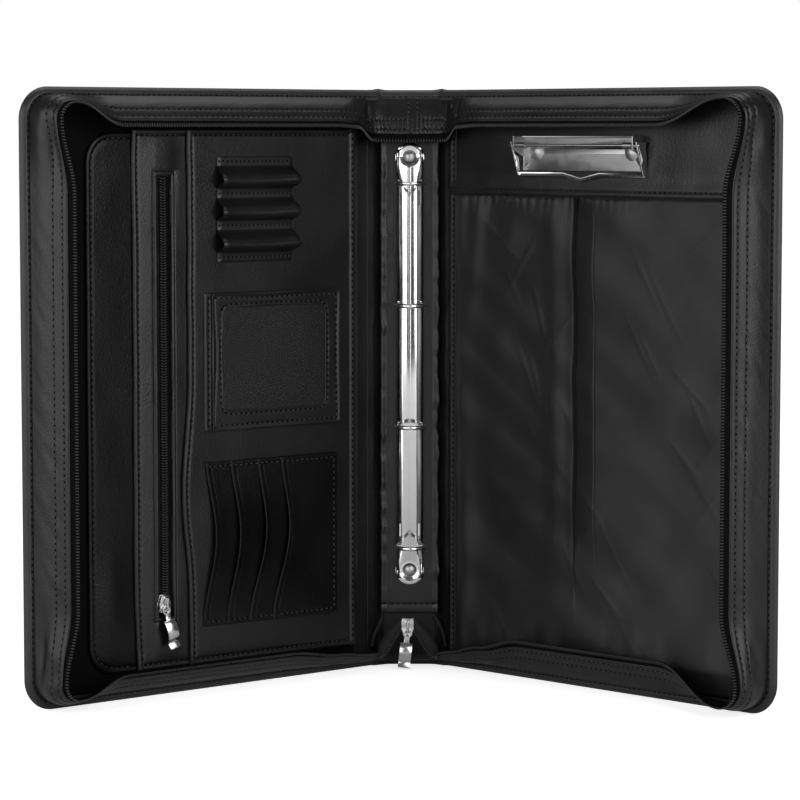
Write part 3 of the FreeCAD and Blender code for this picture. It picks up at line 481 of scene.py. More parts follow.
class Sewing:
    """Collects small rounded bars, such as stitches and the near-black bars of painted shade that stand for
    needle holes, and makes them into one piece.
    """

    def __init__(self, name, body):
        self.name, self.body = name, body
        self.points, self.faces, self.tags = [], [], []

    def blob(self, centre, along, normal, length, width, height, tag=0):
        """A small rounded bar: six-sided, with its ends drawn in."""
        across = normal.cross(along).normalized()
        self.faces += tube_faces(len(self.points), 6, 4)
        self.tags += [tag] * 20
        for place, girth in ((-0.5, 0.35), (-0.3, 0.95), (0.3, 0.95), (0.5, 0.35)):
            for k in range(6):
                turn = pi / 3 * k
                side = across * cos(turn) * width / 2 * girth
                side += normal * sin(turn) * height / 2 * girth
                self.points.append(centre + (along * place * length + side) * MM)

    def row(self, points, normals, pitch=STITCH_PITCH, lift=0.0):
        """Stitches along a line of points, with a near-black bar at the end of each: painted shade standing
        for a needle hole.
        """
        if isinstance(normals, Vector):
            normals = [normals] * len(points)
        marks = resample(points, normals, pitch)
        for (a, na), (b, nb) in zip(marks, marks[1:]):
            along = (b - a).normalized()
            normal = (na + nb).normalized()
            self.blob((a + b) / 2 + normal * lift * MM, along, normal, pitch * 0.66, 0.75, 0.7)
            # painted shade of a needle hole: a raised near-black bar
            self.blob(b + normal * lift * MM, along, normal, 1.5, 1.25, 0.36, 1)
        return self

    def flat_row(self, panel, points, depth, pitch=STITCH_PITCH):
        """A row of stitches through (u, z) points; depth is one depth, or gives it from u and z."""
        deep = depth if callable(depth) else lambda u, z: depth
        return self.row([panel.at(u, deep(u, z), z) for u, z in points], panel.inward, pitch)

    def finish(self):
        """Makes the stitches' piece."""
        obj = mesh_object(self.name, self.points, self.faces, THREAD)
        # The second material is the near-black painted shade of the needle holes.
        obj.data.materials.append(NEEDLE_HOLE_SHADE)
        obj.data.polygons.foreach_set("material_index", self.tags)
        settle(obj, "leather", self.body)


def tooth_line(name, body, points, normals, across, *stands_for, pitch=1.85, length=2.7):
    """A row of coil turns along a line: rounded bars that lie across it."""
    coil = Sewing(name, body)
    for (spot, normal), (_, way) in zip(resample(points, normals, pitch), resample(points, across, pitch)):
        coil.blob(spot, way, normal, length, pitch * 0.54, 1.6)
    # The turns are in the lighter painted-highlight coil colour.
    settle(mesh_object(name, coil.points, coil.faces, HIGHLIGHT_PAINTED_COIL), "zip_teeth", body, *stands_for)


def borders(low, high, step, near=(0, 0.3, 0.8, 1.5, 2.3, 2.9, 3.3, 3.7, 4.4, 5.6, 7.5)):
    """Places from low to high, close together near both ends."""
    inner_low, inner_high = low + near[-1], high - near[-1]
    count = max(2, round((inner_high - inner_low) / step))
    middle = evenly(inner_low, inner_high, count)[1:-1]
    return [low + d for d in near] + middle + [high - d for d in reversed(near)]


# ---------------------------------------------------------------- gussets, tapes and teeth

# Where the zip hangs: (lean towards the middle of the cover, depth).  Each edge has keys by distance s.
CORNER_TIP = {-1: (6.5, 35.4), 1: (4, 35.4)}
SIDE_TIP = {-1: (15.2, 36), 1: (15, 36)}
TOP_TIPS = {
    -1: [(0, (31.4, 19.4)), (30, (31.0, 19.4)), (54, (22.0, 22.4)), (70, (21, 23))],
    1: [(0, (31.4, 19.4)), (30, (31.0, 19.4)), (54, (22.0, 22.6)), (70, (21, 23.5))],
}
FOOT_TIPS = {
    -1: [(0, (4.5, 17)), (20, (4.5, 17.5)), (31, (7, 20)), (45, (8.5, 22)), (70, (11.5, 24)),
         (112, (17, 27))],
    1: [(0, (4.5, 17)), (20, (4.5, 17.5)), (31, (7, 20)), (45, (10, 20)), (70, (16, 19.5)),
        (104, (24, 19.5))],
}
# How far out towards the corners each edge's zip starts to rise, as a share of the edge.
CORNER_SHARE = {-1: {"top": 0.81, "side": 0.74, "foot": 0.82}, 1: {"top": 0.73, "side": 0.74, "foot": 0.74}}
# Pleats over the spine's hinges: (s, width, depth).
PLEATS = {-1: ((34.5, 2.3, 4.6),), 1: ((30.5, 2.6, 2.4), (43.0, 2.4, 4.0))}
# Dents in the fore edge gussets: (z, reach in z, share, reach in share, depth).
DENTS = {
    -1: ((345, 17, 0.60, 0.13, 4.2), (38, 20, 0.24, 0.14, 2.6), (24, 9, 0.62, 0.2, 1.5)),
    1: ((352, 12, 0.50, 0.16, 2.4), (30, 16, 0.34, 0.16, 2.0), (140, 60, 0.3, 0.2, 0.8)),
}
TOP_WAY, FOOT_WAY = (0, -1), (0, 1)


def keyed(keys, s):
    """Eased value from (place, (lean, depth)) keys."""
    for (a, low), (b, high) in zip(keys, keys[1:]):
        if s <= b:
            return [ease(low[k], high[k], (s - a) / (b - a)) for k in (0, 1)]
    return keys[-1][1]


class Station:
    """One place on the edge of the case, with its inward direction and where the zip hangs there."""

    def __init__(self, side, s, z, inward, tip, run):
        self.side, self.s, self.z, self.inward = side, s, z, inward
        self.lean, self.depth = tip
        self.run = run * side

    def at(self, d, w, turn=None):
        """A point d inwards from the edge line and w deep; the free edge over the spine turns more slowly."""
        slow = clamp((w - 6) / 12) if self.inward == TOP_WAY else 0.0
        turn = turn or (SLOW_TURN[0] - 8.0 * slow, SLOW_TURN[1] + 20.0 * slow)
        return wrap(self.side, self.s + self.inward[0] * d, w, self.z + self.inward[1] * d, turn)


def edge_stations(side, inset, step=2.5):
    """Stations from just past the spine's middle, round the cover's edges and back to the spine's foot."""
    radius = CORNER - inset
    far = COVER_REACH + HALF_SPINE - inset - radius
    top, low = HEIGHT - inset, inset + radius
    keys = {"top": TOP_TIPS[side], "foot": FOOT_TIPS[side], "side": [(0, SIDE_TIP[side])]}
    stations = []

    def put(s, z, inward, edge, share):
        start = CORNER_SHARE[side][edge]
        mix = (share - start) / (1 - start)
        tip = [ease(a, b, mix) for a, b in zip(keyed(keys[edge], abs(s)), CORNER_TIP[side])]
        run = -0.8
        if stations:
            run = stations[-1].run * side + hypot(s - stations[-1].s, z - stations[-1].z)
        stations.append(Station(side, s, z, inward, tip, run))

    def straight(stops, z, inward, edge):
        for start, end in zip(stops, stops[1:]):
            fine = 0.8 if max(start, end) <= PLEATED_TO else step
            for s in evenly(start, end, max(1, round(abs(end - start) / fine)))[:-1]:
                put(s, z, inward, edge, (s - 50) / (far - 50))

    def corner(z, first):
        turns = round(radius * pi / 2 / step)
        for k in range(turns):
            a = radians(first - 90 * k / turns)
            put(far + radius * cos(a), z + radius * sin(a), (-cos(a), -sin(a)), "side", 1)

    straight((-0.8, 0, SPINE_HALF_SKIN, STRIP_MIDDLE, PLEATED_TO, far), top, TOP_WAY, "top")
    corner(top - radius, 90)
    for z in evenly(top - radius, low, round((top - radius - low) / step))[:-1]:
        put(far + radius, z, (-1, 0), "side", abs(z - HEIGHT / 2) / (HEIGHT / 2 - low))
    corner(low, 0)
    straight((far, STRIP_MIDDLE, SPINE_HALF_SKIN, 0, -0.8), inset, FOOT_WAY, "foot")
    put(-0.8, inset, FOOT_WAY, "foot", 0)
    return stations


def gusset_relief(station, share):
    """How far the gusset leather stands out from the straight line between its root and the zip."""
    t = clamp(share / LEATHER_SHARE)
    soft = sin(pi * t)
    top, bottom = station.inward == TOP_WAY, station.inward == FOOT_WAY
    crease = 0.42 * ripple(station.run / 9.0 + share * 5, share * 2.2, 7.0)
    crease += 0.13 * ripple(station.run / 3.0 + share * 8, share * 2.5, 4.0)
    offset = 1.9 * soft**1.3 + crease * soft**0.7 * (0.5 if top or bottom else 1.0)
    if top and station.s < 60:
        for place, width, deep in PLEATS[station.side]:
            way = place + (share - 0.4) * 5
            offset -= deep * bell(station.s - way, width * (0.5 + 1.3 * share)) * bell(share - 0.36, 0.2)
        band = clamp((share - 0.46) / 0.06) * clamp((29 - station.s) / 3)
        offset += 0.62 * band * sin(station.run * 2.02 + 0.8 * ripple(station.run / 7, 0, 2)) * (t < 1)
    if not top and not bottom:
        for z, tall, place, width, deep in DENTS[station.side]:
            offset -= deep * bell(station.z - z, tall) * bell(share - place, width)
    return offset - sum(0.42 * bell(share - row, 0.02) for row in STITCH_ROWS)


def gusset_point(station, share, lift=0.0):
    """A point on the middle surface of a gusset band, from its root (0) to the zip's free edge (1)."""
    root = station.at(2.4, 4.9)
    tip = station.at(station.lean, station.depth)
    away = (station.at(-1, 0) - station.at(0, 0)).normalized()
    return root.lerp(tip, share) + away * (gusset_relief(station, share) - lift) * MM


def band_grid(stations, shares, lift=0.0):
    """Rows of gusset points, one row for each station."""
    return grid_of(stations, shares, lambda share, station: gusset_point(station, share, lift))


def stretch(stations, low, high, where="all"):
    """Stations with s from low to high on one edge or all round, and a spare one at each end."""
    foot, top = {"all": (-1, HEIGHT + 1), "top": (HEIGHT / 2, HEIGHT + 1), "foot": (-1, HEIGHT / 2)}[where]
    chosen = [k for k, st in enumerate(stations) if low - 0.01 <= st.s <= high + 0.01 and foot <= st.z <= top]
    return stations[chosen[0] - 1:chosen[-1] + 2]


def joined_sheet(name, stations, shares, lift, thickness, material):
    """A band through all but the end stations; the ends only steer its normals."""
    grid = band_grid(stations, shares, lift)
    return thick_sheet(name, grid[1:-1], thickness, material, grid_normals(grid)[1:-1], True)


def outer_normals(stations, line):
    """Normals on the outer side of a gusset at its stations."""
    normals = []
    for k, (station, row) in enumerate(zip(stations, line)):
        ahead = line[min(k + 1, len(line) - 1)][1] - line[max(k - 1, 0)][1]
        normal = ahead.cross(row[2] - row[0]).normalized()
        away = station.at(-1, 0) - station.at(0, 0)
        normals.append(normal if normal.dot(away) > 0 else -normal)
    return normals


def zip_band(stations, name, blend, leather_nodes=(), tape_nodes=(), teeth_nodes=(), zipped=True):
    """Gusset leather, its stitches, the zip tape and the teeth of one stretch of stations."""
    sheet = joined_sheet(f"{name}_gusset_sheet", stations, GUSSET_SHARES, 0.0, 1.2, LEATHER)
    settle(sheet, "leather", blend, *leather_nodes)
    if not zipped:
        return
    tape = joined_sheet(f"{name}_tape_sheet", stations, TAPE_SHARES, 1.0, 0.7, TAPE)
    settle(tape, "zip_tape", blend, *tape_nodes)
    inner = stations[1:-1]
    sewing = Sewing(f"{name}_gusset_stitches", blend)
    for share in STITCH_ROWS:
        line = band_grid(inner, [share - 0.01, share, share + 0.01])
        sewing.row([r[1] for r in line], outer_normals(inner, line), lift=0.7)
    sewing.finish()
    line = band_grid(inner, [TEETH_SHARE - 0.02, TEETH_SHARE, TEETH_SHARE + 0.02], 0.35)
    across = [(r[2] - r[0]).normalized() for r in line]
    middle = [r[1] for r in line]
    tooth_line(f"{name}_teeth_row", blend, middle, outer_normals(inner, line), across, *teeth_nodes)


def build_gussets():
    """The gusset, tape and teeth round both covers and across the spine."""
    for side, name in NAME.items():
        inner, outer = fold_blends(side)
        stations = edge_stations(side, GUSSET_INSET)
        zip_band(stretch(stations, STRIP_MIDDLE, FAR_ROUND), f"{name}_cover", outer, (f"{name}_gusset",),
                 (f"{name}_zip_tape",), (f"{name}_zip_teeth",))
        nodes = (("upper_spine_gusset",), ("spine_zip_tapes",), ("spine_zip_teeth",)) if side > 0 else ()
        zip_band(stretch(stations, 0, STRIP_MIDDLE, "top"), f"{name}_spine_top", inner, *nodes)
        nodes = (("lower_spine_gusset",),) if side > 0 else ()
        foot = stretch(stations, 0, STRIP_MIDDLE, "foot")
        zip_band(foot, f"{name}_spine_foot", inner, *nodes, zipped=False)


def spine_top_point(x, share, lift):
    """A point on the gusset over the top of the spine, by its distance x from the spine's middle."""
    side = -1 if x < 0 else 1
    station = Station(side, abs(x), HEIGHT - GUSSET_INSET, TOP_WAY, keyed(TOP_TIPS[side], abs(x)), abs(x))
    return gusset_point(station, share, lift)


def build_tab():
    """The short strip sewn over the join in the middle of the spine's upper gusset."""
    seams = (-1.0, 5.2)
    shares = [0.0, 0.02, 0.06, 0.12, 0.2, 0.28, 0.36, 0.44, 0.52, 0.6, 0.67, 0.72, 0.745]

    def place(x, share):
        sink = 0.3 * clamp((0.05 - share) / 0.05)
        return spine_top_point(x, share, -0.95 + sink + sum(0.25 * bell(x - seam, 0.5) for seam in seams))

    grid = grid_of(shares, borders(-2.1, 8.2, 1.0, (0, 0.3, 0.7, 1.1, 1.5)), place)
    settle(thick_sheet("spine_tab", grid, 0.9, FOLDED_LEATHER), "leather", "spine")
    sewing = Sewing("spine_tab_stitches", "spine")
    for seam in seams:
        sewing.row([spine_top_point(seam, share, -1.62) for share in shares], SPINE.inward, 3.6)
    sewing.finish()


# ---------------------------------------------------------------- edge binding

# The folded edge's closed outline: d inwards and w deep, round the outside of the edge.
BINDING_OUTLINE = (
    (7.0, 0.25), (5.6, 0.0), (5.0, 0.3), (4.4, 0.0), (3.0, -0.15), (1.2, 0.15), (0.3, 0.8), (0.0, 1.6),
    (0.25, 2.2), (0.75, 2.6), (0.85, 3.0), (1.3, 3.5), (2.0, 4.1), (2.8, 4.65), (3.6, 4.95), (4.1, 4.85),
    (4.5, 4.5), (4.9, 4.85), (5.6, 5.1), (7.0, 4.9), (7.3, 3.0),
)


def binding_section(station):
    """The outline at a station, a little uneven and thicker at the seams beside the spine."""
    wobble = 0.3 * ripple(station.run / 16.0, 3.0, 1.0) + 0.15 * ripple(station.run / 5.0, 3.0, 1.0)
    seam = 0.8 * bell(abs(station.s) - 21.5, 4.0)
    points = []
    for d, w in BINDING_OUTLINE:
        rise = wobble * (w > 2.6) + seam * 0.5 * (w > 3.5)
        points.append(station.at(d - seam * clamp((2 - d) / 2), w + rise, FOLD_TURN))
    return points


def binding_roll(name, run, body, *stands_for):
    """One stretch of the folded edge."""
    # The binding is in the lighter painted-light leather.
    piece = swept(f"{name}_binding_roll", [binding_section(st) for st in run], LIGHT_PAINTED_EDGE_LEATHER)
    settle(piece, "leather", body, *stands_for)


def build_bindings():
    """The folded leather edge round the whole case, in stretches."""
    spine_runs = {"top": [], "foot": []}
    for side, name in NAME.items():
        inner, outer = fold_blends(side)
        stations = edge_stations(side, 0.0, 2.2)
        runs = [("cover", stretch(stations, STRIP_MIDDLE, FAR_ROUND), outer, (f"{name}_cover_binding",))]
        runs += [(f"fold_{where}", stretch(stations, SPINE_HALF_SKIN, STRIP_MIDDLE, where), inner, ())
                 for where in spine_runs]
        for part, run, blend, nodes in runs:
            run = run[1:-1]
            binding_roll(f"{name}_{part}", run, blend, *nodes)
            sewing = Sewing(f"{name}_{part}_binding_stitches", blend)
            for d, w, way in ((4.5, 4.65, 1), (5.0, 0.12, -1)):
                deeper = [st.at(5, 6, FOLD_TURN) - st.at(5, 5, FOLD_TURN) for st in run]
                normals = [(step * way).normalized() for step in deeper]
                sewing.row([st.at(d, w, FOLD_TURN) for st in run], normals, lift=0.1)
            sewing.finish()
        for where in spine_runs:
            half = stretch(stations, 0, SPINE_HALF_SKIN, where)[1:-1]
            half = half if where == "top" else half[::-1]
            spine_runs[where] = spine_runs[where] + half[1:] if spine_runs[where] else half[::-1]
    sewing = Sewing("spine_binding_stitches", "spine")
    for where, run in spine_runs.items():
        binding_roll(f"spine_{where}", run, "spine", *(("spine_bindings",) if where == "top" else ()))
        sewing.row([st.at(4.5, 4.65) for st in run], SPINE.inward, lift=0.1)
    sewing.finish()


# ---------------------------------------------------------------- outer skins


def crown(value, low, high, reach=9.0):
    """1 in the middle of a range, falling to 0 at its ends over the given reach."""
    t = clamp(min(value - low, high - value) / reach)
    return sqrt(max(0.0, 1 - (1 - t) ** 2))


def skin(name, side, low, high, depth, puff, body, node, step=6.0, thickness=1.2):
    """A padded outer panel between two places round the fold, crowned between its seams."""
    edge = BINDING_WIDTH - 0.6
    near = (0, 0.8, 1.8, 3.2, 5.0)

    def place(s, z):
        rise = puff * min(crown(s, low, high), crown(z, edge, HEIGHT - edge))
        rise += 0.25 * ripple(s / 34.0, z / 40.0, 4.0) * (puff > 0.3)
        w = depth + thickness / 2 - rise
        return wrap(side, s, w, z) if side else SPINE.at(s, w, z)

    grid = grid_of(borders(edge, HEIGHT - edge, step, near), borders(low, high, step, near), place)
    return settle(thick_sheet(name, grid, thickness, LEATHER), "leather", body, node)


def build_skins():
    """Outer leather of the spine, the hinge strips and the covers."""
    half = SPINE_HALF_SKIN
    skin("spine_skin", 0, -half, half, 0.0, 0.6, "spine", "spine_leather")
    far = HALF_SPINE + COVER_REACH - BINDING_WIDTH + 0.6
    for side, name in NAME.items():
        inner, outer = fold_blends(side)
        skin(f"{name}_inner_fold_skin", side, half, STRIP_MIDDLE, 0.1, 0.0, inner,
             f"{name}_hinge_leather", 1.0, 1.7)
        skin(f"{name}_outer_fold_skin", side, STRIP_MIDDLE, COVER_SKIN_START, 0.1, 0.0, outer,
             f"{name}_hinge_lining", 1.0, 1.7)
        cover = skin(f"{name}_cover_skin", side, COVER_SKIN_START, far, 0.3, 1.5, COVER[side],
                     f"{name}_cover_leather")
        seam = [wrap(side, COVER_SKIN_START + 2.4, 0.1, BINDING_WIDTH + 2 + k * 10) for k in range(37)]
        Sewing(f"{name}_cover_seam", COVER[side]).row(seam, -PANEL[side].inward).finish()


# ---------------------------------------------------------------- organiser


def on_left(obj, *nodes, slot="leather"):
    """Settles a piece on the left cover."""
    return settle(obj, slot, "left_cover", *nodes)


def merged(places, extra):
    """Grid places with extra ones put in, leaving out ordinary places that crowd them."""
    kept = [p for p in places if all(abs(p - e) > 0.12 for e in extra) or p in (places[0], places[-1])]
    return sorted(kept + [e for e in extra if places[0] < e < places[-1]])


def leaf(name, reach, rise, depth, thickness, material=LEATHER, far=None, corner=0.0, relief=None, step=4.0,
         fold=0.7, seed=0.0, drift=0.35, extra=((), ())):
    """A sewn leather sheet on the left cover: reach is its near and far u, far(z) the shape of its open edge.

    relief(u, z) adds to the depth, fold is how high the folded rim stands over the stitch line, and extra
    gives more grid lines in u and in z.
    """
    near, nominal = reach
    low, high = rise
    columns = merged(borders(near, nominal, step), extra[0])
    rim = (0, 0.3, 0.8, 1.5, 2.3, 2.9, 3.3, 3.7, 4.4, 5.6, 7.5, 10, 13, 17, 22)
    grid = []
    for z in merged(borders(low, high, step, rim), extra[1]):
        gap = min(z - low, high - z)
        cut = corner - sqrt(max(0.0, corner**2 - max(0.0, corner - gap) ** 2)) if gap < corner else 0.0
        edge = (far(z) if far else nominal) - cut
        line = []
        for u in columns:
            place = near + (u - near) * (edge - near) / (nominal - near)
            d = min(gap, edge - place)
            if corner and gap < corner and place > edge + cut - corner:
                d = corner - hypot(corner - gap, place - (edge + cut - corner))
            w = depth + fold * (1 - clamp(abs(d - 1.4) / 1.5) ** 2) - fold * 0.8 * bell(d - 3.3, 0.6)
            w += clamp(d / 14.0) * drift * ripple(place / 26.0, z / 31.0, seed)
            line.append(LEFT.at(place, w + (relief(place, z) if relief else 0.0), z))
        grid.append(line)
    return thick_sheet(name, grid, thickness, material)


def arc_points(centre, radius, start, end, steps=8):
    """Points round part of a circle, in degrees."""
    turns = [radians(a) for a in evenly(start, end, steps)]
    return [(centre[0] + radius * cos(a), centre[1] + radius * sin(a)) for a in turns]


def card_edge(z):
    """The open edge of the card panel, which sags outwards below its middle."""
    return 161.8 + 5.2 * bell(z - 128, 40.0) + 0.5 * ripple(z / 30, 0, 2)


def zip_panel_edge(z):
    """The open edge of the zip pocket's panel."""
    return 201.8 + 0.9 * ripple(z / 60, 1, 5) - 2.0 * clamp((60 - z) / 50)


def slot_relief(u, z):
    """The zip's opening: folded rims round a sunken track, and the slight fall of the panel's outer strip."""
    middle, half = (SLOT_NEAR + SLOT_FAR) / 2, (SLOT_FAR - SLOT_NEAR) / 2
    off = max(abs(u - middle) - half, SLOT_FOOT - z, z - SLOT_HEAD)
    fall = 0.9 - 2.6 * clamp((u - SLOT_FAR) / 22) if u > SLOT_FAR else 0.9 * clamp((u - 168) / 8)
    rim = 0.5 * bell(off - 0.9, 0.9) - 0.45 * bell(off - SLOT_STITCH, 0.5) if off > -0.001 else -2.3
    return rim + fall * clamp((z - ORGANISER_FOOT) / 14) * clamp((ORGANISER_TOP - z) / 14)


def pocket_swell(u, z):
    """Slack of the document pocket: a low swell that fades towards its seams."""
    calm = clamp((237.5 - u) / 16) * clamp((z - 18) / 20) * clamp((354 - z) / 20)
    return calm * (1.1 * ripple(u / 34, z / 58, 21) + 1.5 * bell(z - 62, 36) * bell(u - 221, 13))


def build_organiser():
    """The three stacked pockets and their stitching."""
    low, high = ORGANISER_FOOT, ORGANISER_TOP
    pocket_top = high - 2.0
    steps = (0, 0.05, 0.45, 0.9, 1.4, 1.9, 2.3, 2.7, 3.2)
    across = [SLOT_NEAR - d for d in steps] + [SLOT_FAR + d for d in steps]
    along = [SLOT_FOOT - d for d in steps] + [SLOT_HEAD + d for d in steps]
    # The document pocket is in the darker painted-shade leather.
    on_left(leaf("document_pocket_sheet", (31, 235.2), (low, pocket_top), DOCUMENT_DEPTH, 1.5, SHADE_PAINTED_LEATHER,
                 corner=POCKET_CORNER, seed=1.0, drift=0.3, relief=pocket_swell), "document_pocket")
    on_left(leaf("zip_pocket_sheet", (31, 201.6), (low, high), ZIP_PANEL_DEPTH, 1.3, far=zip_panel_edge,
                 relief=slot_relief, seed=2.0, extra=(across, along)), "zip_pocket_panel")
    on_left(leaf("card_panel_sheet", (31, 164), (low, high), CARD_PANEL_DEPTH, 1.4, far=card_edge, seed=3.0,
                 drift=0.22), "card_panel")
    sewing = Sewing("organiser_stitches", "left_cover")
    inset = ORGANISER_STITCH
    turn = 235.2 - POCKET_CORNER
    outline = [(205, pocket_top - inset), (turn, pocket_top - inset)]
    for z, start in ((pocket_top - POCKET_CORNER, 90), (low + POCKET_CORNER, 0)):
        outline += arc_points((turn, z), POCKET_CORNER - inset, start, start - 90)
    sewing.flat_row(LEFT, outline + [(205, low + inset)], DOCUMENT_DEPTH + 0.45)
    heights = evenly(low + inset, high - inset, 40)

    def zip_depth(u, z):
        return ZIP_PANEL_DEPTH + 0.35 + slot_relief(u, z)

    sewing.flat_row(LEFT, [(zip_panel_edge(z) - inset, z) for z in heights], zip_depth)
    card_depth = CARD_PANEL_DEPTH + 0.45
    sewing.flat_row(LEFT, [(card_edge(z) - inset, z) for z in heights], card_depth)
    for z in (low + inset, high - inset):
        sewing.flat_row(LEFT, [(34, z), (160, z)], card_depth)
        sewing.flat_row(LEFT, [(168, z), (199, z)], ZIP_PANEL_DEPTH + 0.4)
    near, far, foot, head = SLOT_NEAR - 2.3, SLOT_FAR + 2.3, SLOT_FOOT - 2.3, SLOT_HEAD + 2.3
    for u in (near, far):
        sewing.flat_row(LEFT, [(u, z) for z in evenly(foot, head, 30)], lambda u, z: zip_depth(u, z) + 0.1)
    for z in (foot, head):
        sewing.flat_row(LEFT, [(u, z) for u in evenly(near, far, 6)], lambda u, z: zip_depth(u, z) + 0.1)
    sewing.finish()


def build_organiser_edge():
    """The folded strip that binds the sewn side of the organiser, with its stitch row."""
    section = ((26.4, 5.3), (26.2, 8.0), (26.5, 10.4), (27.6, 11.7), (29.6, 12.0), (31.6, 11.9), (33.6, 11.6),
               (34.0, 11.0), (33.0, 10.9), (31.0, 11.1), (31.0, 5.3))
    sections = []
    for z in borders(ORGANISER_FOOT, ORGANISER_TOP, 6.0, (0, 0.6, 1.5)):
        pull = 0.4 * ripple(z / 24.0, 2.0, 9.0)
        sections.append([LEFT.at(u + pull * (u < 31), w, z) for u, w in section])
    on_left(swept("organiser_edge_fold", sections, FOLDED_LEATHER), "organiser_edge")
    ends = [(31.4, ORGANISER_FOOT + 2), (31.4, ORGANISER_TOP - 2)]
    Sewing("organiser_edge_stitches", "left_cover").flat_row(LEFT, ends, 12.05).finish()


def build_pocket_zip():
    """The organiser's zip: its tape in the sunken track and two rows of coil turns down the middle."""
    middle = (SLOT_NEAR + SLOT_FAR) / 2
    rows = evenly(SLOT_FOOT + 0.6, SLOT_HEAD - 0.6, 60)
    grid = grid_of(rows, (-5.6, -3.4, -1.5, 0, 1.5, 3.4, 5.6),
                   lambda d, z: LEFT.at(middle + d, 7.75 + 0.05 * abs(d), z))
    on_left(thick_sheet("pocket_zip_tape_sheet", grid, 0.7, TAPE), "pocket_zip_tape", slot="zip_tape")
    for number, way in enumerate((-1, 1)):
        line = [LEFT.at(middle + 1.25 * way, 8.7, z) for z in rows]
        slant = (LEFT.along + UP * 0.28 * way).normalized()
        nodes = ("pocket_zip_coil",) if number else ()
        tooth_line(f"pocket_zip_coil_{number}", "left_cover", line, [LEFT.inward] * len(line),
                   [slant] * len(line), *nodes, pitch=1.7)


def build_pen_loops():
    """A strip sewn down at four rows, pinched up between them into three loops with curled open ends."""
    first, pitch, loops, flat = 336.1, 20.2, 3, 2.6
    base, near, far = 12.1, 81.0, 140.0
    half, tall = (pitch - 2 * flat) / 2, 9.0
    profile = [(-2.4, 0.0), (-1.0, 0.0)]
    for k in range(loops):
        for x in evenly(-1, 1, 32):
            height = tall * cos(pi / 2 * x) ** 1.7 if abs(x) < 1 else 0.0
            profile.append((pitch * (k + 0.5) + half * x, height))
    profile += [(pitch * loops + 1.2, 0.0), (pitch * loops + 2.6, 0.0)]

    def place(u, spot):
        down, height = spot
        t = (u - near) / (far - near)
        curl = (0.8 + 1.2 * ripple(down / 4.2, t * 0.5, 3.0)) * abs(2 * t - 1) ** 4 * height / tall
        sag = 1.0 - 0.10 * sin(pi * t) + 0.05 * ripple(down / 9, t * 3, 6)
        drop = (1.6 + 1.0 * sin(pi * t)) * height / tall
        return LEFT.at(u + curl * (1 if t > 0.5 else -1), base + height * sag, first - down - drop)

    grid = grid_of(profile, evenly(near, far, 20), place)
    on_left(thick_sheet("pen_loop_strip", grid, 1.0, FOLDED_LEATHER), "pen_loops")
    sewing = Sewing("pen_loop_stitches", "left_cover")
    for k in range(loops + 1):
        z = first - pitch * k
        sewing.flat_row(LEFT, [(near + 1, z), (far - 1, z)], base + 0.6, 3.4)
    sewing.finish()


def rounded_loop(u0, u1, z0, z1, radius, per_side=14):
    """Points round a rounded rectangle, anticlockwise from its lower far corner."""
    corners = [((u1 - radius, z0 + radius), -90), ((u1 - radius, z1 - radius), 0),
               ((u0 + radius, z1 - radius), 90), ((u0 + radius, z0 + radius), 180)]
    arcs = [arc_points(centre, radius, start, start + 90, 6) for centre, start in corners]
    loop = []
    for k, arc in enumerate(arcs):
        last, goal = arc[-1], arcs[(k + 1) % 4][0]
        between = zip(evenly(last[0], goal[0], per_side), evenly(last[1], goal[1], per_side))
        loop += arc + list(between)[1:-1]
    return loop


def framed_sheet(name, outer, inner, depth, thickness, shares, relief, material):
    """A closed sheet on the left cover between two loops of (u, z) points that match one to one."""
    n, rings = len(outer), len(shares)
    front, back = [], []
    for share in shares:
        for (u0, z0), (u1, z1) in zip(outer, inner):
            u, z = u0 + (u1 - u0) * share, z0 + (z1 - z0) * share
            width = hypot(u1 - u0, z1 - z0)
            front.append(LEFT.at(u, depth + thickness / 2 + relief(share * width, (1 - share) * width), z))
            back.append(LEFT.at(u, depth - thickness / 2, z))
    count = n * rings
    faces = []
    for r in range(rings):
        for k in range(n):
            a, b = r * n + k, r * n + (k + 1) % n
            if r < rings - 1:
                faces += [(a, b, b + n, a + n), (count + a, count + a + n, count + b + n, count + b)]
            if r in (0, rings - 1):
                faces.append((a, count + a, count + b, b))
    return closed_object(name, front + back, faces, material)


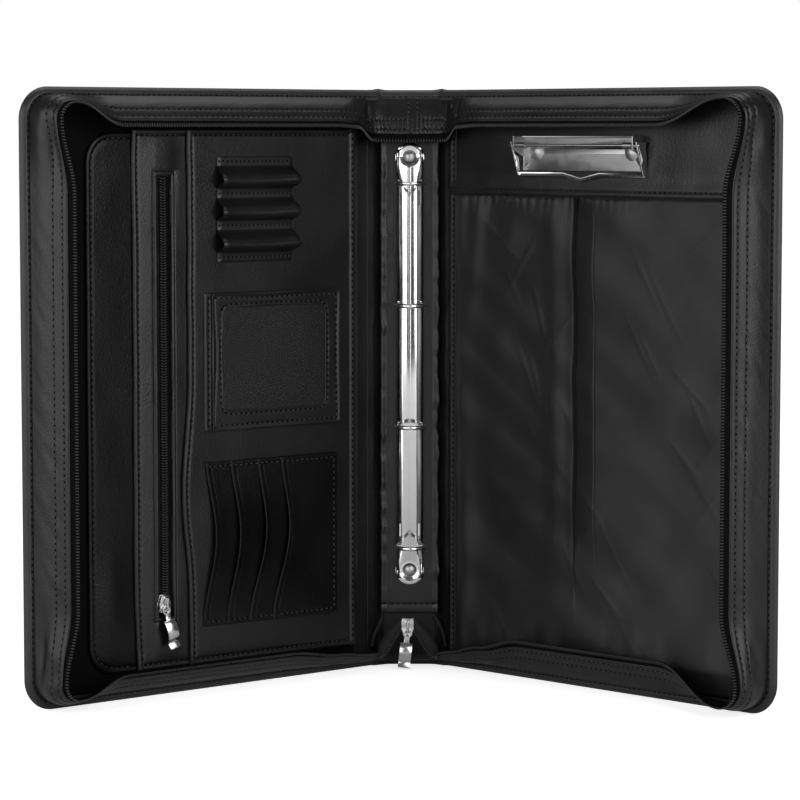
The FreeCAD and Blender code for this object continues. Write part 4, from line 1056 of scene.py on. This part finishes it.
def build_window_pocket():
    """The see-through pocket: backing with its own longer edge, film, and a frame with a rounded window."""
    near, far, low, high = WINDOW
    back = leaf("window_pocket_backing", (near, 150.5), (low, high), 11.9, 0.9, seed=6.0, drift=0.1, fold=0.3)
    on_left(back, "window_pocket_back")

    def relief(from_outer, from_inner):
        rims = 0.4 * bell(from_outer, 1.8) - 0.45 * bell(from_outer - 3.2, 0.6)
        rims -= 0.4 * bell(from_inner - 2.0, 0.6)
        return rims - 0.3 * (from_outer < 0.2 or from_inner < 0.2)

    shares = [0, 0.02, 0.06, 0.12, 0.18, 0.24, 0.28, 0.33, 0.4, 0.5, 0.6, 0.68, 0.73, 0.77, 0.82, 0.88, 0.94,
              0.98, 1]
    outer, inner = rounded_loop(*WINDOW, 1.5), rounded_loop(*WINDOW_HOLE, 6.0)
    border = framed_sheet("window_pocket_border", outer, inner, 13.0, 0.9, shares, relief, LEATHER)
    on_left(border, "window_pocket_frame")
    grid = grid_of(evenly(170, 250, 20), evenly(47, 143, 20),
                   lambda u, z: LEFT.at(u, 12.52 + 0.05 * ripple(u / 20, z / 20, 8), z))
    film = thick_sheet("window_pocket_clear_film", grid, 0.15, FILM)
    on_left(film, "window_pocket_film", slot="clear_film")
    ring = rounded_loop(*WINDOW_SEAM, 8.0)
    rim = 3.2
    outline = [(far - rim, low + rim), (near + rim, low + rim),
               (near + rim, high - rim), (far - rim, high - rim)]
    sewing = Sewing("window_pocket_stitches", "left_cover").flat_row(LEFT, outline, 13.38)
    sewing.flat_row(LEFT, ring + ring[:1], 13.4).flat_row(LEFT, [(147.4, 169), (147.4, 250)], 12.45).finish()


def mouth(top, bottom, bulge):
    """The open edge of a card slot: a slow wave from its top to its foot."""
    def edge(z):
        t = clamp((CARDS_TOP - z) / (CARDS_TOP - CARDS_FOOT))
        return top + (bottom - top) * t - bulge * sin(pi * clamp(t * 1.05)) ** 1.5 * (1 - 0.35 * t)
    return edge


def build_card_slots():
    """Four card slots stepped over each other, their mouths standing a little open."""
    low, high, near = CARDS_FOOT, CARDS_TOP, CARDS_NEAR
    for number, (top, bottom, bulge) in enumerate(CARD_MOUTHS):
        edge = mouth(top, bottom, bulge)

        def gape(u, z, edge=edge):
            t = (high - z) / (high - low)
            return 2.9 * sin(pi * clamp(t)) ** 2 * exp(-((edge(z) - u) / 9.0))

        depth = 12.0 + CARDS_LAYER * number
        # The card slots are in the darker painted-shade leather.
        slot = leaf(f"card_slot_sheet_{number + 1}", (near, top), (low, high), depth, 0.75, SHADE_PAINTED_LEATHER,
                    edge, relief=gape, step=3.0, fold=0.18, seed=10.0 + number, drift=0.25)
        on_left(slot, f"card_slot_{number + 1}")
    sewing = Sewing("card_slot_stitches", "left_cover")
    rim = 2.5
    outline = [(149, high - rim), (near + rim, high - rim), (near + rim, low + rim), (151, low + rim)]

    def stack(u, z):
        return 12.5 + CARDS_LAYER * sum(u < edge for edge in (131, 112, 94))

    for a, b in zip(outline, outline[1:]):
        sewing.flat_row(LEFT, list(zip(evenly(a[0], b[0], 30), evenly(a[1], b[1], 30))), stack)
    sewing.finish()


# ---------------------------------------------------------------- right cover


def crease_lines():
    """Thin creases pressed into the satin: (start, end, height) on the right cover, always the same ones."""
    found = []
    for k in range(46):
        u, z = 34 + 225 * ((k * 0.618) % 1), 24 + 285 * ((k * 0.755 + 0.31) % 1)
        c, d = ripple(k * 3.7, 2.3, 31.0), ripple(k * 5.3, 4.1, 31.0)
        turn = radians((40 if k % 3 == 0 else -54) + 34 * c)
        reach = 40 + 90 * abs(d)
        found.append(((u, z), (u + reach * cos(turn), z + reach * sin(turn)), 0.14 + 0.5 * abs(c)))
    return found


CREASES = crease_lines()


def crease_height(u, z):
    """Sum of the thin creases at one place."""
    total = 0.0
    for (u0, z0), (u1, z1), tall in CREASES:
        du, dz = u1 - u0, z1 - z0
        size = du * du + dz * dz
        t = ((u - u0) * du + (z - z0) * dz) / size
        if -0.1 < t < 1.1:
            off = ((u - u0) * dz - (z - z0) * du) / sqrt(size)
            if abs(off) < 4:
                total += tall * bell(off, 1.4) * sin(pi * clamp(t))
    return total


def pleat_line(z):
    """Where the pleat's fold runs down the satin sleeve."""
    return PLEAT_START + 4.0 * clamp((314 - z) / 305) + 1.2 * ripple(z / 70, 0, 1)


def sleeve_depth(u, z):
    """Shape of the satin sleeve: soft folds by the hinge, a long pleat, a flat right part, thin creases."""
    drop = clamp((314 - z) / 305)
    line = pleat_line(z)
    strength = ease(1, 0, (drop - 0.55) / 0.33)
    off = u - line
    if off < 0:
        shape = SLEEVE_SLACK * clamp((u - 36) / (line - 36)) ** 1.3 + strength * 1.5 * bell(off + 15, 8.0)
    elif off < PLEAT_WIDTH:
        shape = SLEEVE_SLACK - PLEAT_DROP * strength * (1 - off / PLEAT_WIDTH) ** 1.15
    else:
        shape = SLEEVE_SLACK - 0.3 * strength * clamp((PLEAT_WIDTH + 1.5 - off) / 1.5)
    crest = u - 24 - 3 * sin(z / 70)
    shape += 2.6 * bell(crest, 5.0 if crest < 0 else 11.0) * (0.7 + 0.3 * sin(z / 52 + 1))
    shape += 1.8 * bell(u - 41 + drop * 30, 6.0) * bell(drop, 0.22)
    shape += 1.0 * bell(u - 72 + drop * 40, 9.0) * bell(drop, 0.3)
    gather = (0.75 + 0.6 * ripple(u / 9, 0, 5)) * exp(-drop * 75) * clamp((112 - abs(u - 70)) / 50)
    shape += gather * sin(u * 0.95 + 2.6 * ripple(u / 15, 0, 2) + (314 - z) * 0.06)
    tilt, skew = u * 0.57 + z * 0.82, u * 0.82 - z * 0.57
    left = clamp((150 - u) / 40)
    slack = (0.9 + 1.0 * left) * ripple(tilt / 24, skew / 90, 3) + 0.9 * ripple(skew / 30, tilt / 70, 7)
    slack += 0.9 * left * ripple(u / 30, z / 46, 9)
    foot = 0.9 * bell(z - 24, 16) * ripple(u / 12, z / 40, 15)
    calm = clamp(min(u - SLEEVE_NEAR, SLEEVE_FAR - u) / 9)
    calm *= clamp((z - SLEEVE_FOOT) / 14) * clamp((315 - z) / 3)
    return SLEEVE_DEPTH + calm * (shape + slack + foot + crease_height(u, z))


def build_pad_side():
    """The header that carries the clip, the satin sleeve below it and the stitching of both."""
    _, outer = fold_blends(1)
    columns = merged(evenly(SLEEVE_NEAR, SLEEVE_FAR, 190), PLEAT_COLUMNS)
    grid = []
    for z in evenly(SLEEVE_FOOT, SLEEVE_TOP, 210):
        shift = pleat_line(z) - PLEAT_START
        places = [u + shift * clamp(min((u - SLEEVE_NEAR) / 80, (SLEEVE_FAR - u) / 100)) for u in columns]
        grid.append([RIGHT.at(u, sleeve_depth(u, z), z) for u in places])
    sleeve = settle(thick_sheet("satin_sleeve", grid, 0.4, SATIN), "lining_cloth", outer, "cloth_sleeve")
    columns = borders(SLEEVE_NEAR, SLEEVE_FAR, 5.0)

    def place(u, z):
        d = z - HEADER_FOOT
        bump = 0.35 * (1 - clamp(abs(d - 1.3) / 1.5) ** 2) - 0.4 * bell(d - 3.0, 0.5)
        wave = 0.0 if 70 < u < 190 and z > 322 else 0.5 * ripple(u / 22, z / 30, 12) * clamp(d / 6)
        return RIGHT.at(u, 7.6 + bump + wave - 1.9 * clamp((z - 318) / 8), z)

    grid = grid_of(borders(HEADER_FOOT, HEADER_TOP, 4.0), columns, place)
    settle(thick_sheet("clip_header_sheet", grid, 1.1, LEATHER), "leather", outer, "clip_header")
    Sewing("header_stitches", outer).flat_row(RIGHT, [(u, HEADER_FOOT + 3.0) for u in columns], 7.85).finish()


def build_hinge_edge():
    """The rolled leather edge beside the right hinge that the sleeve and header are sewn under."""
    section = ((13.6, 5.4), (13.3, 6.6), (13.9, 7.7), (15.0, 8.2), (16.3, 8.1), (17.2, 7.6),
               (17.8, 7.2), (18.6, 7.5), (19.5, 7.3), (19.9, 6.6), (19.5, 6.0), (17.0, 5.8))
    sections = []
    for z in borders(9.0, 372.5, 4.0, (0, 0.6, 1.5)):
        pull = 0.5 * ripple(z / 26.0, 2.0, 19.0) + 0.25 * ripple(z / 8.0, 2.0, 19.0)
        sections.append([RIGHT.at(u + pull * (u < 17), w, z) for u, w in section])
    _, outer = fold_blends(1)
    # The hinge edge is in the darker painted-shade leather.
    settle(swept("right_hinge_edge", sections, SHADE_PAINTED_LEATHER), "leather", outer)
    line = [(17.8, z) for z in evenly(11, 370, 60)]
    Sewing("right_hinge_edge_stitches", outer).flat_row(RIGHT, line, 7.35).finish()


# ---------------------------------------------------------------- spine


def build_ring_strip():
    """The hemmed leather strip under the ring mechanism, its sewn sides slightly gathered."""
    low, high, half = 35.5, 352.0, 18.6

    def place(x, z):
        side = 1 if x > 0 else -1
        d = half - abs(x)
        gather = 1.3 * ripple(z / 6.0, side * 2.0, 6.0) + 1.3 * ripple(z / 19.0, side * 3.0, 2.0)
        pull = gather * (1 - clamp(d / 5.0))
        groove = 0.3 * bell(z - low - 2.6, 2.2) - 0.4 * bell(z - low - 5.6, 0.6)
        edge = 0.9 * bell(d, 1.8) + 0.8 * pull - 0.3 * bell(d - 3.4, 0.9)
        mottle = 0.3 * clamp((abs(x) - 9) / 3) * ripple(x / 6, z / 11, 4)
        return SPINE.at(x + pull * 0.8, 5.0 + groove + edge + mottle, z)

    grid = grid_of(borders(low, high, 2.2, (0, 0.5, 1.2, 2.4, 3.8, 5.0, 5.6, 6.2, 7.2)),
                   borders(-half, half, 2.4, (0, 0.4, 1.0, 1.8, 2.8, 3.8)), place)
    settle(thick_sheet("ring_strip_sheet", grid, 1.2, LEATHER), "leather", "spine", "ring_strip")
    hem = [(-15.5, low + 5.6), (15.5, low + 5.6)]
    Sewing("ring_strip_stitches", "spine").flat_row(SPINE, hem, 5.35).finish()


def smooth_path(keys, count):
    """Points evenly spread along a Catmull-Rom curve through the keys."""
    found = []
    for t in evenly(0, len(keys) - 1, count):
        k = min(int(t), len(keys) - 2)
        t -= k
        a, b, c, d = (Vector(keys[min(max(k + i, 0), len(keys) - 1)]) for i in (-1, 0, 1, 2))
        square, cube = 2 * a - 5 * b + 4 * c - d, 3 * b - a - 3 * c + d
        found.append(0.5 * (2 * b + (c - a) * t + square * t * t + cube * t**3))
    return found


def headings(centres):
    """The direction of a path at each of its points."""
    last = len(centres) - 1
    return [(centres[min(k + 1, last)] - centres[max(k - 1, 0)]).normalized() for k in range(last + 1)]


# The two zip halves below the slider: (s, depth, height, girth) from the slider to the covers' lower gussets.
TAILS = {
    -1: ((5.2, 19.2, 31.0, 2.6), (8.5, 20.2, 27.5, 3.4), (14.0, 20.8, 21.5, 3.8), (20.0, 20.8, 15.8, 3.7),
         (26.0, 20.4, 11.8, 3.0), (34.0, 20.0, 9.2, 1.6)),
    1: ((2.0, 19.2, 31.0, 2.6), (5.5, 20.2, 27.0, 3.4), (10.5, 20.8, 20.5, 3.8), (15.5, 20.8, 14.4, 3.7),
        (21.5, 20.4, 10.6, 3.0), (34.0, 20.0, 9.2, 1.6)),
}
# The curved seams beside the slider: (x, depth, height).
LINING_SEAMS = {
    -1: ((-17.8, 5.4, 33), (-20.5, 6.4, 27), (-24, 8.6, 19.5), (-25.0, 10.6, 13.5)),
    1: ((16.0, 5.4, 33), (19.5, 6.6, 28.5), (22.5, 8.8, 21.5), (24.0, 10.6, 13.5)),
}


def build_tails():
    """The rolled tapes that hang from the slider, and the coil that runs out from under them."""
    for side, keys in TAILS.items():
        inner, _ = fold_blends(side)
        path = smooth_path([key[:3] for key in keys], 40)
        girths = [girth.x for girth in smooth_path([(key[3], 0, 0) for key in keys], 40)]
        centres = [wrap(side, s, w, z, SLOW_TURN) for s, w, z in path]
        sections, coil, across, normals = [], [], [], []
        for k, (centre, ahead, girth) in enumerate(zip(centres, headings(centres), girths)):
            front = (SPINE.inward - ahead * SPINE.inward.dot(ahead)).normalized()
            lower = ahead.cross(front).normalized()
            lower = lower if lower.z < 0 else -lower
            ring = []
            for n in range(18):
                a = 2 * pi * n / 18
                uneven = 0.10 * ripple(k / 4.0, cos(a) * 2, side * 5.0) + 0.06 * cos(3 * a + k / 9)
                bulge = girth * (1 + uneven)
                ring.append(centre + (lower * cos(a) * bulge + front * sin(a) * bulge * 0.62) * MM)
            sections.append(ring)
            coil.append(centre + (lower * girth * 0.93 + front * 0.5) * MM)
            across.append(lower)
            normals.append(front)
        settle(swept(f"{NAME[side]}_rolled_tape", sections, CLOTH), "leather", inner)
        tooth_line(f"{NAME[side]}_tail_teeth", inner, coil, normals, across, length=2.2)


def build_spine_lining():
    """The two curved seams in the spine's lining beside the slider."""
    for side, keys in LINING_SEAMS.items():
        centres = [SPINE.at(x, w, z) for x, w, z in smooth_path(keys, 24)]
        sections = []
        for centre, ahead in zip(centres, headings(centres)):
            way = ahead.cross(SPINE.inward).normalized()
            sections.append([centre + (way * cos(a) * 1.1 + SPINE.inward * sin(a) * 0.7) * MM
                             for a in (2 * pi * n / 12 for n in range(12))])
        inner, _ = fold_blends(side)
        settle(swept(f"{NAME[side]}_lining_seam", sections, CLOTH), "lining_cloth", inner)


# ---------------------------------------------------------------- metal parts


def softened(node, material, slot, width=0.18):
    """A copy of a CAD metal part with its sharp edges rounded."""
    source = frame["nodes"][node]
    obj = bpy.data.objects.new(f"{node}_polished", source.data.copy())
    bpy.context.scene.collection.objects.link(obj)
    obj.data.materials.clear()
    obj.data.materials.append(material)
    weld = obj.modifiers.new("weld", "WELD")
    weld.merge_threshold = 0.00001
    bevel = obj.modifiers.new("bevel", "BEVEL")
    bevel.width = width * MM
    bevel.segments = 2
    bevel.limit_method = "ANGLE"
    bevel.angle_limit = radians(40)
    bevel.use_clamp_overlap = True
    depsgraph = bpy.context.evaluated_depsgraph_get()
    mesh = bpy.data.meshes.new_from_object(obj.evaluated_get(depsgraph))
    obj.modifiers.clear()
    obj.data = mesh
    mesh.polygons.foreach_set("use_smooth", [True] * len(mesh.polygons))
    mesh.set_sharp_from_angle(angle=radians(35))
    settle(obj, slot, source["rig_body"], node)


def build_metal():
    """Ring mechanism, pad clip, sliders and pullers, and the looks of the CAD parts that stay."""
    softened("ring_cover_plate", CHROME, "bright_steel")
    softened("clip_bail", CHROME, "bright_steel")
    softened("clip_base", BRUSHED, "bright_steel")
    for node in ("main_zip_slider", "pocket_zip_slider", "main_zip_puller", "pocket_zip_puller"):
        softened(node, NICKEL, "zip_metal", 0.15)
    kept = {
        RIVET: ("ring_rivets", "clip_rivets"),
        CHROME: ("clip_pivot_rod", "left_half_rings", "right_half_rings", "left_ring_blade",
                 "right_ring_blade"),
        SPRING: ("clip_springs",),
        BOARD: ("spine_board", "left_cover_board", "right_cover_board"),
        FOAM: ("left_cover_foam", "right_cover_foam"),
        # The covers' linings take the near-black painted-shade cloth.
        CLOTH: ("spine_lining",),
        SHADE_PAINTED_LINING_CLOTH: ("left_cover_lining", "right_cover_lining"),
    }
    for material, nodes in kept.items():
        for node in nodes:
            mesh = frame["nodes"][node].data
            mesh.materials.clear()
            mesh.materials.append(material)


# ---------------------------------------------------------------- camera, floor and light


CAMERA_PLACE = (-21.6, 2077.5, 353.6)
CAMERA_PITCH, CAMERA_YAW = radians(4.857), radians(0.421)
CAMERA_LENS = 141.2
# Soft boxes: place, width and height in metres, and power in watts.
LIGHTS = {
    "top_light": ((0, 0.5, 1.9), 1.5, 1.5, 10),
    "left_light": ((-1.5, -1.6, 0.62), 2.9, 1.9, 36),
    "left_strip_light": ((-2.15, -0.3, 0.5), 0.5, 1.5, 2.3),
    "right_light": ((1.45, -1.72, 0.95), 1.9, 1.8, 33),
}
LIT_SPOT = Vector((0, 0.0, 0.2))


def build_camera():
    """A long lens in front of the open case, a little above its top edge and to the left of its spine."""
    camera = bpy.data.objects.new("camera", bpy.data.cameras.new("camera"))
    camera.data.lens = CAMERA_LENS
    camera.data.sensor_width = 36.0
    camera.data.clip_end = 20
    camera.location = SPINE.at(*CAMERA_PLACE)
    level = cos(CAMERA_PITCH)
    forward = Vector((sin(CAMERA_YAW) * level, cos(CAMERA_YAW) * level, -sin(CAMERA_PITCH)))
    camera.rotation_euler = forward.to_track_quat("-Z", "Y").to_euler()
    bpy.context.scene.collection.objects.link(camera)
    bpy.context.scene.camera = camera


def build_floor():
    """A pale floor that fades into the pale surround; it glows a little so that it stays even and light."""
    points = [(x, y, -0.0004) for y in (-4.0, -1.0, 0.0, 2.0, 8.0) for x in (-6.0, -1.0, 1.0, 6.0)]
    faces = [(4 * r + c, 4 * r + c + 1, 4 * r + c + 5, 4 * r + c + 4) for r in range(4) for c in range(3)]
    paper = Surface("studio_paper", (0.92, 0.92, 0.92), 0.9, 0.1)
    tree = paper.tree
    reach = add(tree, "VectorMath", operation="LENGTH")
    far = add(tree, "MapRange", **{"From Min": 0.1, "From Max": 1.6, "To Min": 0.72, "To Max": 1.0})
    glow = add(tree, "Math", operation="MULTIPLY")
    tree.links.new(paper.place, reach.inputs[0])
    tree.links.new(reach.outputs["Value"], far.inputs["Value"])
    tree.links.new(far.outputs["Result"], glow.inputs[1])
    tree.links.new(add(tree, "LightPath").outputs["Is Camera Ray"], glow.inputs[0])
    paper.set("Emission Color", (1, 1, 1, 1))
    tree.links.new(glow.outputs["Value"], paper.inputs["Emission Strength"])
    mesh_object("studio_floor", points, faces, paper.material)


def area_light(name, place, size, tall, power):
    """A soft box aimed at the middle of the case."""
    data = bpy.data.lights.new(name, "AREA")
    data.shape = "RECTANGLE"
    data.size, data.size_y = size, tall
    data.energy = power
    light = bpy.data.objects.new(name, data)
    light.location = place
    light.rotation_euler = (LIT_SPOT - Vector(place)).to_track_quat("-Z", "Y").to_euler()
    bpy.context.scene.collection.objects.link(light)


def build_light():
    """A white surround for the lens, a dim one for the piece, a top light and three lights from the sides."""
    scene = bpy.context.scene
    world = bpy.data.worlds.new("studio")
    scene.world = world
    world.use_nodes = True
    tree = world.node_tree
    background = tree.nodes["Background"]
    strength = add(tree, "MapRange", **{"To Min": 0.08, "To Max": 1.0})
    tree.links.new(add(tree, "LightPath").outputs["Is Camera Ray"], strength.inputs["Value"])
    tree.links.new(strength.outputs["Result"], background.inputs["Strength"])
    background.inputs["Color"].default_value = (1, 1, 1, 1)
    for name, box in LIGHTS.items():
        area_light(name, *box)
    scene.view_settings.view_transform = "Standard"
    scene.view_settings.exposure = 0.0


# ---------------------------------------------------------------- everything

for build in (
    build_camera, build_floor, build_light, build_bindings, build_gussets, build_tab, build_skins,
    build_organiser, build_organiser_edge, build_pocket_zip, build_pen_loops, build_window_pocket,
    build_card_slots, build_pad_side, build_hinge_edge, build_ring_strip, build_tails, build_spine_lining,
    build_metal,
):
    build()
